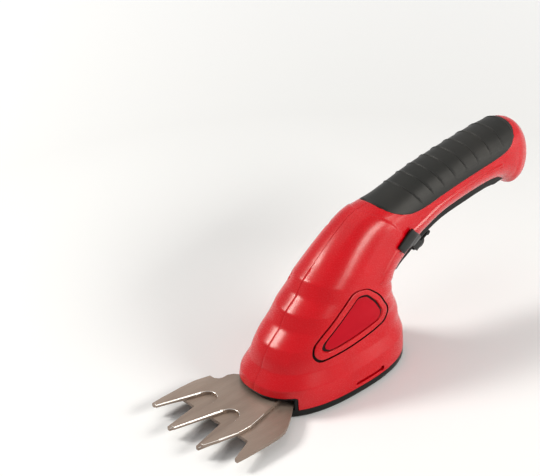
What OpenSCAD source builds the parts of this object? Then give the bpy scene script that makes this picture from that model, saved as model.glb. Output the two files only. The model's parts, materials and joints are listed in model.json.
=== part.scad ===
// Cordless grass shears: a clamshell body on a flat sole, a soft grip, a long trigger lever with
// a lock-off saddle, and a toothed blade pair that a geared motor swings through a crank.
// The blades point to -X, the handle to +X, and the sole rests on Z = 0 about the origin.

/* [Body] */
// Length of the body from its nose to the end of the handle
body_len = 225; // [216:1:236]
// Height of the body over the floor
body_h = 113; // [110:1:120]
// Width of the body at its base
body_w = 63.6; // [62:0.2:70]
// Wall of the two housing halves
wall = 2.2; // [1.8:0.1:2.4]
// Thickness of the soft grip
grip_t = 1.2; // [0.8:0.1:1.4]
// Height of the sole's edge under the housing
sole_h = 5; // [4.8:0.1:5.4]
// Height of the front mouth that the blades come out of
mouth_h = 9.5; // [9:0.1:11]
// Width of the front mouth
mouth_w = 47; // [46:0.5:50]

/* [Blades] */
// Reach of the long teeth from the pivot
blade_reach = 82.4; // [76:0.2:88]
// Width across the outer tooth tips
cut_w = 70; // [64:1:74]
// Thickness of each blade
blade_t = 2; // [1.6:0.1:2.2]
// Play between the two blades
blade_play = 0.1; // [0.05:0.01:0.15]
// Diameter of the blade pivot
pivot_d = 8; // [7:0.1:9]
// Distance from the middle of the sole to the pivot, for a body of the usual length
pivot_gap = 24; // [22:0.5:25]

/* [Drive] */
// Distance from the blade pivot to the crank shaft, for a body of the usual length
crank_reach = 26; // [25:0.5:28]
// Throw of the crank
crank_r = 3.8; // [3.4:0.1:4]
// Diameter of the crank pin
crank_pin_d = 3.8; // [3:0.1:4]
// Module of the gears, for a body of the usual length
tooth_module = 0.6; // [0.56:0.01:0.62]
// Diameter of the motor, for a body of the usual length
motor_size = 27.7; // [25:0.1:28]
// Length of the motor's can, for a body of the usual height
can_len = 32; // [28:0.5:34]

/* [Battery] */
// Diameter of the battery cell as a share of the room in the handle
cell_share = 0.811; // [0.75:0.001:0.82]
// Length of the battery cell as a share of the body's length
cell_len_share = 0.289; // [0.26:0.001:0.292]

/* [Controls] */
// Width of the trigger lever
lever_w = 14; // [12:0.2:14.4]
// Height of the lever that stands proud of the handle
lever_proud = 4.6; // [3.6:0.1:5]
// Travel of the lock-off saddle
lock_travel = 4; // [3:0.1:4.4]
// Length of the lock-off saddle's cheeks
lock_len = 14; // [12:0.2:15]

/* [Hidden] */
$fn = 48;
over = 1;
play = 0.3;
fit = 0.05;
// The drive and the controls keep their place in the body when its sizes change
usual_len = 225;
usual_w = 63.6;
usual_h = 113;
len_share = body_len/usual_len;
wide_share = body_w/usual_w;
high_share = body_h/usual_h;
pivot_back = pivot_gap*len_share;
crank_gap = crank_reach*len_share;
gear_m = tooth_module*len_share;
motor_d = motor_size*len_share;
motor_len = can_len*high_share;
red = [0.82, 0.05, 0.06];
black = [0.12, 0.12, 0.12];
steel = [0.55, 0.54, 0.52];
brass = [0.78, 0.62, 0.28];

// Stations of the body from its base to the end of the handle, as shares of the body's sizes:
// front or top point x and z, rear or under point x and z, half width, and squareness of section
body_shares = [
  [-0.242, 0.000, 0.242, 0.000, 1.000, 2.5],
  [-0.244, 0.056, 0.242, 0.056, 1.000, 2.5],
  [-0.238, 0.116, 0.240, 0.116, 0.987, 2.5],
  [-0.216, 0.194, 0.231, 0.185, 0.906, 2.5],
  [-0.194, 0.264, 0.230, 0.231, 0.862, 2.45],
  [-0.176, 0.324, 0.224, 0.273, 0.830, 2.4],
  [-0.153, 0.361, 0.214, 0.296, 0.811, 2.4],
  [-0.120, 0.463, 0.215, 0.343, 0.767, 2.3],
  [-0.093, 0.500, 0.210, 0.366, 0.748, 2.3],
  [-0.056, 0.602, 0.213, 0.394, 0.704, 2.25],
  [-0.029, 0.639, 0.216, 0.407, 0.686, 2.25],
  [0.009, 0.713, 0.222, 0.426, 0.654, 2.2],
  [0.060, 0.792, 0.238, 0.449, 0.616, 2.2],
  [0.107, 0.847, 0.262, 0.477, 0.582, 2.2],
  [0.151, 0.861, 0.293, 0.514, 0.553, 2.2],
  [0.200, 0.864, 0.329, 0.556, 0.535, 2.2],
  [0.258, 0.889, 0.364, 0.588, 0.525, 2.2],
  [0.324, 0.921, 0.404, 0.616, 0.519, 2.2],
  [0.396, 0.944, 0.453, 0.634, 0.519, 2.2],
  [0.471, 0.963, 0.507, 0.648, 0.519, 2.2],
  [0.538, 0.979, 0.560, 0.657, 0.522, 2.2],
  [0.596, 0.991, 0.604, 0.657, 0.528, 2.2],
  [0.640, 1.000, 0.640, 0.639, 0.528, 2.2],
  [0.680, 0.986, 0.671, 0.597, 0.503, 2.2],
  [0.713, 0.940, 0.700, 0.565, 0.440, 2.2],
  [0.740, 0.870, 0.727, 0.583, 0.346, 2.2],
  [0.755, 0.787, 0.747, 0.657, 0.189, 2.2]
];
last = len(body_shares) - 1;
rise = body_h - sole_h;
rings = 2*last;
sides = 12;
// The wall thickens from this station to the handle's end
end_from = 23;
end_wall = 5;
// Stations between which the soft grip lies, how far it reaches round from the top, its recess's
// margin, and how square its ends are
grip_from = 14.25;
grip_to = 23.3;
grip_reach = 84;
grip_margin = 15;
grip_power = 3.3;

function row(i) = body_shares[max(0, min(last, i))];
function spline(a, b, c, d, u) =
  (2*b + (c - a)*u + (2*a - 5*b + 4*c - d)*u*u + (3*b - a - 3*c + d)*u*u*u)/2;
function share_at(s) =
  let (i = min(floor(s), last - 1))
  spline(row(i - 1), row(i), row(i + 1), row(i + 2), s - i);
function top_at(s) = let (q = share_at(s)) [q[0]*body_len, sole_h + q[1]*rise];
function under_at(s) = let (q = share_at(s)) [q[2]*body_len, sole_h + q[3]*rise];
function mid_at(s) = (top_at(s) + under_at(s))/2;
function half_at(s) = (top_at(s) - under_at(s))/2;
function down_at(s) = -half_at(s)/norm(half_at(s));
function width_at(s) = share_at(s)[4]*body_w/2;
function power(v, e) = sign(v)*pow(abs(v), e);
// Half width of the section at station s, a share k of the way from its middle to its top
function reach_at(s, k) = let (n = share_at(s)[5]) width_at(s)*pow(1 - pow(abs(k), n), 1/n);
function place_at(s, k) = mid_at(s) + half_at(s)*k;
// Point of the skin at station s, turned by a from the top, sunk by d
function skin(s, a, d) =
  let (n = share_at(s)[5], h = norm(half_at(s)), m = place_at(s, (h - d)/h*power(cos(a), 2/n)))
  [m[0], (width_at(s) - d)*power(sin(a), 2/n), m[1]];
function grip_turn(s) =
  let (u = abs(2*(s - grip_from)/(grip_to - grip_from) - 1))
  u < 1 ? grip_reach*pow(1 - pow(u, grip_power), 1/grip_power) : -grip_reach;
function dent(s, a) = a <= grip_turn(s) + grip_margin ? grip_t + play : 0;
function depth(s) = wall + (s >= grip_from - 1 && s <= grip_to ? grip_t + play : 0);

// Faces of a sheet of n by m cells whose points start at number k
function sheet(n, m, k, flip) = [
  for (i = [0:n - 1], j = [0:m - 1], t = [0, 1])
    let (a = k + i*(m + 1) + j, b = a + 1, c = a + m + 1, d = c + 1)
    t == 0 ? (flip ? [a, c, b] : [a, b, c]) : (flip ? [b, c, d] : [b, d, c])
];
// Faces that close the gap between two sheets of n by m cells, all round their edges
function rim(n, m, k) = concat(
  [for (i = [0:n - 1]) let (a = i*(m + 1), c = a + m + 1) [a, c, c + k, a + k]],
  [for (i = [0:n - 1]) let (a = i*(m + 1) + m, c = a + m + 1) [a + k, c + k, c, a]],
  [for (j = [0:m - 1]) [j + k, j + k + 1, j + 1, j]]
);

// Cylinder of diameter d from height a to height b
module rod(d, a, b) {
  translate([0, 0, a])
    cylinder(d = d, h = b - a);
}
// Cylinder of diameter d along Y from a to b
module cross_rod(d, a, b) {
  rotate([-90, 0, 0])
    rod(d, a, b);
}
// Cylinder of diameter d along X from a to b
module long_rod(d, a, b) {
  rotate([90, 0, 90])
    rod(d, a, b);
}
// Box between two opposite corners
module box(a, b) {
  translate(a)
    cube(b - a);
}
// Box that is even about the XZ plane
module even_box(x0, x1, half, z0, z1) {
  box([x0, -half, z0], [x1, half, z1]);
}
// Plate of width w about the XZ plane, from an outline of x and z
module side_plate(w, outline) {
  rotate([90, 0, 0])
    linear_extrude(height = w, center = true)
      polygon(outline);
}
module at_xz(p) {
  translate([p[0], 0, p[1]])
    children();
}

// Housing halves
screw_d = 2.9;
screw_head_d = 5.4;
screw_head_h = 2;
boss_d = 8;
// Places of the housing screws: station, and share from the section's middle to its top
boss_shares = [
  [2.5, -0.86], [3.3, 0.66], [8.6, 0.8], [11.5, -0.55], [12, 0.75], [14.2, 0.42], [23.5, 0.45]
];
seat_share = 0.45;
vent_x = 7;
vent_len = 22;
vent_h = 1.2;
vent_z = sole_h + 2.5*vent_h;
vent_hole_d = 2*vent_h;
socket_d = 8;
socket_z = top_at(last)[1] - socket_d/2;
light_d = 2.6;
light_gap = 2.6;
light_z = socket_z + socket_d/2 + light_gap;

module half_shell() {
  rows = [for (i = [0:rings]) i*last/rings];
  turns = [for (j = [0:sides]) j*180/sides];
  outer = [for (s = rows, a = turns) skin(s, a, dent(s, a))];
  inner = [
    for (s = rows, a = turns)
      skin(s, a, depth(s)) - [end_wall*max(0, (s - end_from)/(last - end_from)), 0, 0]
  ];
  k = len(outer);
  e = rings*(sides + 1);
  caps = [
    [for (j = [0:sides]) e + j],
    [for (j = [0:sides]) k + e + sides - j],
    [k + e, e, e + sides, k + e + sides]
  ];
  faces = concat(sheet(rings, sides, 0, false), sheet(rings, sides, k, true), rim(rings, sides, k), caps);
  polyhedron(points = concat(outer, inner), faces = faces, convexity = 8);
}

// Solid half of the body, sunk to the middle of its wall, that trims the bosses
module half_core() {
  turns = [for (j = [0:sides]) j*180/sides];
  points = [for (s = [0:last], a = turns) skin(s, a, depth(s) - wall/2)];
  m = sides + 1;
  flat = [for (i = [0:last - 1]) [i*m, (i + 1)*m, (i + 1)*m + sides, i*m + sides]];
  caps = [[for (j = [0:sides]) last*m + j], [for (j = [0:sides]) sides - j]];
  polyhedron(points = points, faces = concat(sheet(last, sides, 0, false), flat, caps), convexity = 8);
}

// Lever outline: stations along the underside, and how far it stands proud of the skin and sinks in
lever_from = 10.6;
lever_to = 21.6;
lever_sink = 5;
lever_steps = 14;
// The lever rises to its full height at one station and falls away again after another
lever_lead = 0.2;
lever_full = 15.3;
lever_flat = 19;
lever_fall = 0.1;
lever_rise = 3;
lever_nose = 0.3;
pivot_lead = 0.4;
tail_lead = 0.8;
pivot_sink = 5.5*high_share;
lever_pin_d = 3;
lever_end_d = 7.6*high_share;
lever_pivot = under_at(lever_to + pivot_lead) - down_at(lever_to)*pivot_sink;
lever_tail_sink = 3.8*high_share;
lever_tail_d = 7.2;
lever_tail = under_at(lever_to + tail_lead) - down_at(lever_to)*lever_tail_sink;
function lever_s(i) = lever_from + (lever_to - lever_from)*i/lever_steps;
function lever_taper(i) = min(1, (i + lever_nose)/lever_rise);
function lever_proud_at(s) =
  let (rise = min(1, (s - lever_from + lever_lead)/(lever_full - lever_from)))
  lever_proud*rise*(1 - lever_fall*max(0, s - lever_flat));
function lever_low(i, extra) =
  let (s = lever_s(i))
  under_at(s) + down_at(s)*(lever_proud_at(s) + extra);
function lever_high(i, extra) =
  let (s = lever_s(i))
  under_at(s) - down_at(s)*(lever_sink*lever_taper(i) + extra);
function lever_outline(low, high) = concat(
  [for (i = [0:lever_steps]) lever_low(i, low)],
  [for (i = [lever_steps:-1:0]) lever_high(i, high)]
);
slot_play = 0.6;
slot_lead = 2.4;
// Block that joins the lever's run to its round rear end
function lever_heel(extra) = [
  lever_low(lever_steps, extra), lever_tail + down_at(lever_to)*(lever_tail_d/2 + extra),
  lever_tail, lever_pivot, lever_high(lever_steps, 0)
];

module lever_slot() {
  w = lever_w + 2*slot_play;
  side_plate(w, lever_outline(wall, lever_sink));
  side_plate(w, lever_heel(wall));
  at_xz(lever_pivot)
    cross_rod(lever_end_d + 2*slot_play, -w/2, w/2);
  at_xz(lever_tail)
    cross_rod(lever_tail_d + 2*slot_play, -w/2, w/2);
  at_xz(lever_low(0, 0))
    cross_rod(2*slot_lead, -w/2, w/2);
}

// Lock-off saddle: it sits at a station of the neck and slides along the underside there
lock_s = 13.65;
lock_front_s = 12.7;
lock_rear_s = 15.2;
lock_span = 0.5;
lock_gap = 0.5;
lock_drop = 1;
lock_t = 2.3;
lock_band = 9;
lock_cheek_h = 8.4;
lock_drop_share = 0.2;
lock_square = 4;
lock_band_drop = 2;
lock_tab_len = 5;
lock_tab_h = 2.4;
lock_nub_s = 14.7;
lock_nub_d = 7;
lock_nub_w = 9;
lock_plate_w = 13;
lock_side = width_at(lock_front_s) + lock_gap;
lock_at = place_at(lock_s, -lock_drop_share);
lock_run = lock_low(lock_s + lock_span, 0) - lock_low(lock_s - lock_span, 0);
lock_way = lock_run/norm(lock_run);
lock_tilt = atan2(lock_way[1], lock_way[0]);

module lock_frame() {
  at_xz(lock_at)
    rotate([0, -lock_tilt, 0])
      children();
}

module housing_cuts() {
  lever_slot();
  even_box(-body_len, 0, mouth_w/2 + play, 0, sole_h + mouth_h);
  for (side = [-1, 1])
    scale([1, side, 1]) {
      box([vent_x - vent_len/2, body_w/4, vent_z - vent_h/2],
          [vent_x + vent_len/2, body_w, vent_z + vent_h/2]);
      translate([vent_x + vent_len/2, 0, vent_z])
        cross_rod(vent_hole_d, body_w/4, body_w);
      lock_frame()
        box([-lock_tab_len/2 - play, lock_side - lock_gap - wall - play, -lock_tab_h/2 - play],
            [lock_tab_len/2 + play + lock_travel, body_w, lock_tab_h/2 + play]);
    }
  translate([0, 0, socket_z])
    long_rod(socket_d + 2*play, mid_at(grip_to)[0], body_len);
  translate([0, 0, light_z])
    long_rod(light_d + play, mid_at(grip_to)[0], body_len);
}

// Bosses stand along Y from the parting plane into the side wall
module housing_half(head) {
  difference() {
    union() {
      half_shell();
      intersection() {
        half_core();
        union() {
          for (b = boss_shares)
            at_xz(place_at(b[0], b[1]))
              cross_rod(boss_d, 0, body_w/2);
          at_xz(lever_pivot)
            cross_rod(pin_boss_d, lever_w/2 + slot_play, body_w/2);
          for (p = sole_bosses)
            translate([p[0], p[1], 0])
              rod(sole_boss_d, sole_h, sole_boss_z);
        }
      }
    }
    housing_cuts();
    badge_shape(over, groove_share);
    for (b = boss_shares)
      at_xz(place_at(b[0], b[1])) {
        cross_rod(screw_d + fit, -over, reach_at(b[0], b[1])*(head ? 1 : screw_share));
        if (head)
          cross_rod(screw_head_d + 2*play, reach_at(b[0], b[1])*seat_share, body_w);
      }
    at_xz(lever_pivot)
      cross_rod(lever_pin_d + fit, 0, pin_reach);
    for (p = sole_bosses)
      translate([p[0], p[1], 0])
        rod(screw_d + fit, 0, sole_screw_z + play);
  }
}
screw_share = 0.7;
pin_boss_d = 5.6;
pin_hold = 1.8;
pin_reach = lever_w/2 + slot_play + pin_hold;
sole_boss_d = 6;
sole_boss_h = 9;
sole_screw_h = 7;
sole_boss_z = sole_h + sole_boss_h;
sole_screw_z = sole_h + sole_screw_h;
sole_boss_shares = [[-0.09, 0.80], [0.133, 0.73]];
sole_bosses = [for (q = sole_boss_shares) [q[0]*body_len, q[1]*body_w/2]];

module right_housing() {
  color(red)
    housing_half(true);
}
module left_housing() {
  color(red)
    mirror([0, 1, 0])
      housing_half(false);
}
module housing_screws() {
  color(steel)
    for (b = boss_shares)
      at_xz(place_at(b[0], b[1])) {
        seat = reach_at(b[0], b[1])*seat_share;
        cross_rod(screw_d - fit, -reach_at(b[0], b[1])*screw_share + play, seat + screw_head_h/2);
        cross_rod(screw_head_d, seat, seat + screw_head_h);
      }
}

// Patch of the skin between two stations, turned up to a(s) from the middle line, of even thickness
module skin_patch(from, to, n, m, low, high, mid_turn, turn_at) {
  points = [
    for (d = [high, low], i = [0:n], j = [0:m])
      let (t = i/n, s = from + (to - from)*t)
      skin(s, mid_turn + turn_at(s)*(2*j/m - 1), -d)
  ];
  k = (n + 1)*(m + 1);
  e = n*(m + 1);
  top = [for (j = [0:m - 1]) [e + j, e + j + 1, e + j + 1 + k, e + j + k]];
  faces = concat(sheet(n, m, 0, false), sheet(n, m, k, true), rim(n, m, k), top);
  polyhedron(points = points, faces = faces);
}
// The grip stops short of its recess by this many stations at each end
grip_lead = 0.38;
grip_rows = 18;
grip_cells = 16;

module grip_cover() {
  from = grip_from + grip_lead;
  to = grip_to - grip_lead;
  color(black)
    skin_patch(from, to, grip_rows, grip_cells, -grip_t, 0, 0, function (s) grip_turn(s));
}

// Badge plates: a rounded triangle let into each side of the body, thin and bare
badge_t = 0.9;
badge_from = 3.2;
badge_to = 9.3;
badge_turn = 88;
badge_spread = 44;
badge_rows = 12;
badge_cells = 10;
groove_share = 1.03;
// Corners of the badge as shares of the body's length and height
badge_shares = [
  [-0.126, 0.310], [0.032, 0.530], [0.060, 0.527], [0.101, 0.457], [0.138, 0.353],
  [0.139, 0.324], [0.098, 0.296], [-0.020, 0.275], [-0.103, 0.263], [-0.121, 0.273]
];
badge_mid_shares = [0.02, 0.37];

module badge_shape(high, grow) {
  intersection() {
    skin_patch(badge_from, badge_to, badge_rows, badge_cells, -badge_t, high, badge_turn,
               function (s) badge_spread);
    rotate([90, 0, 0])
      linear_extrude(height = 2*body_w, center = true)
        polygon([
          for (q = badge_shares)
            let (p = badge_mid_shares + (q - badge_mid_shares)*grow)
            [p[0]*body_len, p[1]*body_h]
        ]);
  }
}
module badge() {
  badge_shape(0, 1);
}
module right_badge() {
  color(red)
    badge();
}
module left_badge() {
  color(red)
    mirror([0, 1, 0])
      badge();
}

// Sole: a flat moulding with a drawer for the blade cassette, a tunnel for its latch and gear posts
floor_t = 1.6;
sole_sides = 72;
drawer_w = 42*wide_share;
drawer_tail_w = 24;
neck_lead = 4.6;
end_lead = 1.5;
drawer_neck_x = -pivot_back + neck_lead;
drawer_end_x = pivot_back/2 + end_lead;
tunnel_w = 17;
tunnel_len = 30*len_share;
tunnel_h = 3.3;
tunnel_wall = 1.4;
post_d = 6.8;
mouth_wall = 2.2;
lip_h = 2.4;

function oval(inset) = [
  for (i = [0:sole_sides - 1])
    let (a = 360*i/sole_sides, n = row(0)[5])
    [
      power(cos(a), 2/n)*(row(0)[2]*body_len - inset),
      power(sin(a), 2/n)*(row(0)[4]*body_w/2 - inset)
    ]
];
module oval_plate(inset, a, b) {
  translate([0, 0, a])
    linear_extrude(height = b - a)
      polygon(oval(inset));
}
module sole_plate() {
  color(black)
    difference() {
      union() {
        oval_plate(sole_round, 0, sole_h*sole_round_shares[0]);
        oval_plate(sole_round*sole_step_share, sole_h*sole_round_shares[0], sole_h*sole_round_shares[1]);
        oval_plate(0, sole_h*sole_round_shares[1], sole_h);
        difference() {
          oval_plate(play/2, sole_h, sole_h + mouth_h - play);
          oval_plate(mouth_wall, 0, body_h);
          box([-body_len, mouth_w/2, 0], [body_len, body_w, body_h]);
          box([-body_len, -body_w, 0], [body_len, -mouth_w/2, body_h]);
          box([0, -body_w, 0], [body_len, body_w, body_h]);
        }
        even_box(drawer_end_x, drawer_end_x + tunnel_len + tunnel_wall, tunnel_w/2 + tunnel_wall,
                 floor_t, floor_t + tunnel_h + tunnel_wall);
        for (p = posts)
          translate([p[0], p[1], 0])
            rod(post_d, floor_t, deck_z);
      }
      even_box(-body_len, drawer_neck_x, drawer_w/2, floor_t, sole_h + over);
      even_box(-body_len, drawer_end_x, drawer_tail_w/2, floor_t, sole_h + over);
      even_box(-body_len, drawer_neck_x, mouth_w/2 - mouth_wall/2, sole_h, sole_h + mouth_h - lip_h);
      even_box(drawer_end_x - over, drawer_end_x + tunnel_len, tunnel_w/2, floor_t, floor_t + tunnel_h);
      even_box(pad_x - play, pad_x + pad_len + latch_travel + play, pad_w/2 + play, -over, floor_t + over);
      for (p = posts)
        translate([p[0], p[1], 0])
          rod(screw_d + fit, frame_screw_low - play, deck_z + over);
      for (p = sole_bosses, side = [-1, 1])
        translate([p[0], side*p[1], 0]) {
          rod(screw_d + 2*play, -over, sole_h + over);
          rod(screw_head_d + 2*play, -over, sole_seat_z);
        }
    }
}
sole_round = 2.2;
sole_step_share = 0.36;
sole_round_shares = [0.16, 0.36];
sole_seat_z = sole_h/2;

module sole_screws() {
  color(steel)
    for (p = sole_bosses, side = [-1, 1])
      translate([p[0], side*p[1], 0]) {
        rod(screw_d - fit, sole_seat_z, sole_screw_z);
        rod(screw_head_d, sole_seat_z - screw_head_h, sole_seat_z);
      }
}

// Blade cassette: holder, fixed lower blade, its rivets, the pivot and a washer
drawer_play = 0.2;
holder_z = floor_t + drawer_play;
blade_lift = 1;
blade_z = sole_h + blade_lift;
upper_z = blade_z + blade_t + blade_play;
upper_top = upper_z + blade_t;
washer_t = 0.7;
washer_d = 15;
pivot_head_d = 14;
pivot_head_h = 1.6;
rivet_d = 4;
rivet_lead = 12;
rivet_x = -pivot_back + rivet_lead;
rivet_y = 8.4;
notch_len = 4;
notch_w = 8;

module holder() {
  difference() {
    union() {
      intersection() {
        oval_plate(play, 0, body_h);
        even_box(-body_len, drawer_neck_x - drawer_play, drawer_w/2 - drawer_play, holder_z, blade_z);
      }
      even_box(drawer_neck_x - over, drawer_end_x - drawer_play, drawer_tail_w/2 - drawer_play,
               holder_z, blade_z);
    }
    even_box(drawer_end_x - notch_len, drawer_end_x + over, notch_w/2, holder_z - over, floor_t + tunnel_h);
    translate([-pivot_back, 0, 0])
      rod(pivot_d, holder_z - over, blade_z + over);
    for (side = [-1, 1])
      translate([rivet_x, side*rivet_y, 0])
        rod(rivet_d, holder_z - over, blade_z + over);
  }
}
module blade_holder() {
  color(black)
    holder();
}

// Lower blade: shares of its reach from the pivot, and of the width across the tips
gullet_share = 0.72;
gullet_pitch_share = 0.32;
gullet_half_share = 0.075;
inner_tip_share = 0.173;
outer_tip_share = 0.907;
tip_half_share = 0.014;
outer_half_share = 0.5;
lower_front_shares = [[0.811, 0.520], [0.636, 0.522], [0.524, 0.515], [0.470, 0.498]];
lower_plain_shares = [[0.420, 0.466], [0.360, 0.418], [0.300, 0.362]];
lower_notch_shares = [
  [0.410, 0.480], [0.408, 0.430], [0.381, 0.386], [0.347, 0.384], [0.317, 0.385], [0.277, 0.360]
];
lower_rear_shares = [
  [0.240, 0.302], [0.165, 0.290], [0.060, 0.270], [-0.040, 0.180], [-0.150, 0.160], [-0.225, 0.150]
];
function blade_point(q) = [-pivot_back - q[0]*blade_reach, q[1]*cut_w];
lower_tooth_shares = [
  [gullet_share, 0], [gullet_share, gullet_half_share],
  [1, inner_tip_share - tip_half_share], [1, inner_tip_share + tip_half_share],
  [gullet_share, gullet_pitch_share - gullet_half_share],
  [gullet_share, gullet_pitch_share + gullet_half_share],
  [outer_tip_share, outer_half_share - tip_half_share],
  [outer_tip_share, outer_half_share + tip_half_share]
];
module lower_blade() {
  notched = concat(lower_tooth_shares, lower_front_shares, lower_notch_shares, lower_rear_shares);
  plain = concat(lower_tooth_shares, lower_front_shares, lower_plain_shares, lower_rear_shares);
  right = [for (q = notched) blade_point(q)];
  left = [for (i = [len(plain) - 1:-1:1]) blade_point([plain[i][0], -plain[i][1]])];
  color(steel)
    difference() {
      translate([0, 0, blade_z])
        linear_extrude(height = blade_t)
          polygon(concat(right, left));
      translate([-pivot_back, 0, 0])
        rod(pivot_d, blade_z - over, upper_z + over);
      for (side = [-1, 1])
        translate([rivet_x, side*rivet_y, 0])
          rod(rivet_d, blade_z - over, upper_z + over);
    }
}
module blade_rivets() {
  color(steel)
    for (side = [-1, 1])
      translate([rivet_x, side*rivet_y, 0])
        rod(rivet_d, holder_z, blade_z + blade_t);
}
module blade_pivot() {
  color(steel)
    translate([-pivot_back, 0, 0]) {
      rod(pivot_d, holder_z, upper_top + washer_t + 2*blade_play);
      rod(pivot_head_d, upper_top + washer_t + 2*blade_play, upper_top + washer_t + pivot_head_h);
    }
}
module pivot_washer() {
  color(steel)
    translate([-pivot_back, 0, 0])
      difference() {
        rod(washer_d, upper_top + blade_play, upper_top + washer_t + blade_play);
        rod(pivot_d + 2*fit, 0, upper_top + washer_t + over);
      }
}

// Upper blade, drawn about its pivot with its teeth along -X, then swung towards one end of its stroke
swing = asin(crank_r/crank_gap);
rest_share = 0.75;
rest_swing = swing*rest_share;
upper_boss_d = 21;
tail_w = 11;
tail_slot_play = 0.25;
tail_rim = 2.5;
tail_end_d = 2*crank_r + crank_pin_d + 2*tail_rim;
upper_gullet_share = 0.161;
// One side of the upper blade from its middle tooth, as shares of the reach and of the cutting width
upper_half_shares = [
  [1.000, 0.000], [1.000, 0.014], [0.631, 0.073], [0.631, 0.234], [0.958, 0.318], [0.952, 0.345],
  [0.840, 0.367], [0.686, 0.383], [0.585, 0.373], [0.443, 0.313], [0.280, 0.243], [0.100, 0.160]
];

module upper_plate() {
  count = len(upper_half_shares);
  right = [for (q = upper_half_shares) [-q[0]*blade_reach, q[1]*cut_w]];
  left = [for (i = [count - 1:-1:1]) [right[i][0], -right[i][1]]];
  root = (right[2] + right[3])/2;
  difference() {
    union() {
      linear_extrude(height = blade_t)
        polygon(concat(right, left));
      rod(upper_boss_d, 0, blade_t);
      even_box(0, crank_gap, tail_w/2, 0, blade_t);
      translate([crank_gap, 0, 0])
        rod(tail_end_d, 0, blade_t);
    }
    for (side = [-1, 1])
      translate([root[0], side*root[1], 0])
        rod(upper_gullet_share*cut_w, -over, blade_t + over);
    rod(pivot_d + 2*fit, -over, blade_t + over);
    even_box(crank_gap - crank_r, crank_gap + crank_r, crank_pin_d/2 + tail_slot_play,
             -over, blade_t + over);
    for (side = [-1, 1])
      translate([crank_gap + side*crank_r, 0, 0])
        rod(crank_pin_d + 2*tail_slot_play, -over, blade_t + over);
  }
}
module upper_blade() {
  color(steel)
    translate([-pivot_back, 0, upper_z])
      rotate([0, 0, -rest_swing])
        upper_plate();
}

// Latch of the blade cassette and its spring, in the tunnel of the sole
latch_travel = 4.2;
latch_play = 0.3;
latch_len = 13;
tongue_len = 3.6;
latch_x = drawer_end_x + latch_play;
pad_lead = 3;
pad_x = latch_x + pad_lead;
pad_w = 10;
pad_len = 7.5;
pad_z = 0.5;

module blade_latch() {
  color([0.75, 0.1, 0.08]) {
    even_box(latch_x, latch_x + latch_len, tunnel_w/2 - latch_play,
             floor_t + latch_play, floor_t + tunnel_h - latch_play);
    even_box(latch_x - tongue_len, latch_x, notch_w/2 - latch_play,
             floor_t + 2*latch_play, floor_t + tunnel_h - 2*latch_play);
    even_box(pad_x, pad_x + pad_len, pad_w/2, pad_z, floor_t + latch_play);
  }
}

// Coil along Z of n curls from height a to height b, one unbroken tube
coil_steps = 8;
coil_sides = 6;
module coil(d, wire, n, a, b) {
  steps = n*coil_steps;
  points = [
    for (i = [0:steps], j = [0:coil_sides - 1])
      let (turn = 360*i/coil_steps, side = 360*j/coil_sides, r = d/2 + wire/2*cos(side))
      [r*cos(turn), r*sin(turn), a + wire/2 + (b - a - wire)*i/steps + wire/2*sin(side)]
  ];
  walls = [
    for (i = [0:steps - 1], j = [0:coil_sides - 1], t = [0, 1])
      let (p = i*coil_sides + j, q = i*coil_sides + (j + 1)%coil_sides)
      t == 0 ? [p, q, p + coil_sides] : [q, q + coil_sides, p + coil_sides]
  ];
  ends = [
    [for (j = [coil_sides - 1:-1:0]) j],
    [for (j = [0:coil_sides - 1]) steps*coil_sides + j]
  ];
  polyhedron(points = points, faces = concat(walls, ends));
}
latch_spring_d = 2.4;
latch_wire = 0.4;
latch_curls = 9;
module latch_spring() {
  color(steel)
    translate([0, 0, floor_t + tunnel_h/2])
      rotate([0, 90, 0])
        coil(latch_spring_d, latch_wire, latch_curls,
             latch_x + latch_len + fit, drawer_end_x + tunnel_len - fit);
}

// Heights of the drive, stacked over the upper blade
pin_gap = 0.4;
pin_len = 2.8;
disc_t = 3;
deck_gap = 0.8;
deck_t = 1.6;
gear_gap = 0.5;
low_gear_t = 3.5;
high_gap = 0.3;
high_gear_t = 2.8;
plate_gap = 1.4;
plate_t = 2.5;
pin_z = upper_top + pin_gap;
disc_z = pin_z + pin_len;
disc_mid = disc_z + disc_t/2;
deck_z = disc_z + disc_t + deck_gap;
low_gear_z = deck_z + deck_t + gear_gap;
high_gear_z = low_gear_z + low_gear_t + high_gap;
plate_z = high_gear_z + high_gear_t + plate_gap;
motor_z = plate_z + plate_t;

// Gear train: motor pinion, two-step idler and output gear, with their places in plan
pinion_n = 10;
idle_big_n = 30;
idle_small_n = 12;
output_n = 36;
idle_turn = 40;
out_at = [crank_gap - pivot_back, 0];
mesh_low = gear_m*(idle_small_n + output_n)/2;
mesh_high = gear_m*(pinion_n + idle_big_n)/2;
idle_at = out_at + mesh_low*[cos(idle_turn), sin(idle_turn)];
motor_at = [idle_at[0] + sqrt(mesh_high*mesh_high - idle_at[1]*idle_at[1]), 0];
high_turn = atan2(motor_at[1] - idle_at[1], motor_at[0] - idle_at[0]);

pressure = 25;
addendum_share = 0.8;
dedendum_share = 1.15;
tooth_play = 0.05;
flank_steps = 3;
function involute(c) = tan(c)*180/PI - c;
function tooth_half(n, r) =
  let (p = gear_m*n/2, b = p*cos(pressure))
  90/n + involute(pressure) - involute(acos(min(1, b/r))) - tooth_play/p*180/PI;
function tooth_flank(n) =
  let (p = gear_m*n/2, b = max(p*cos(pressure), p - dedendum_share*gear_m), t = p + addendum_share*gear_m)
  concat(
    [[p - dedendum_share*gear_m, tooth_half(n, b)]],
    [for (i = [0:flank_steps]) let (r = b + (t - b)*i/flank_steps) [r, tooth_half(n, r)]]
  );
function gear_outline(n) =
  let (f = tooth_flank(n), k = len(f))
  [
    for (i = [0:n - 1], j = [0:2*k - 1])
      let (q = j < k ? [f[j][0], -f[j][1]] : f[2*k - 1 - j], a = 360*i/n + q[1])
      q[0]*[cos(a), sin(a)]
  ];
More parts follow.
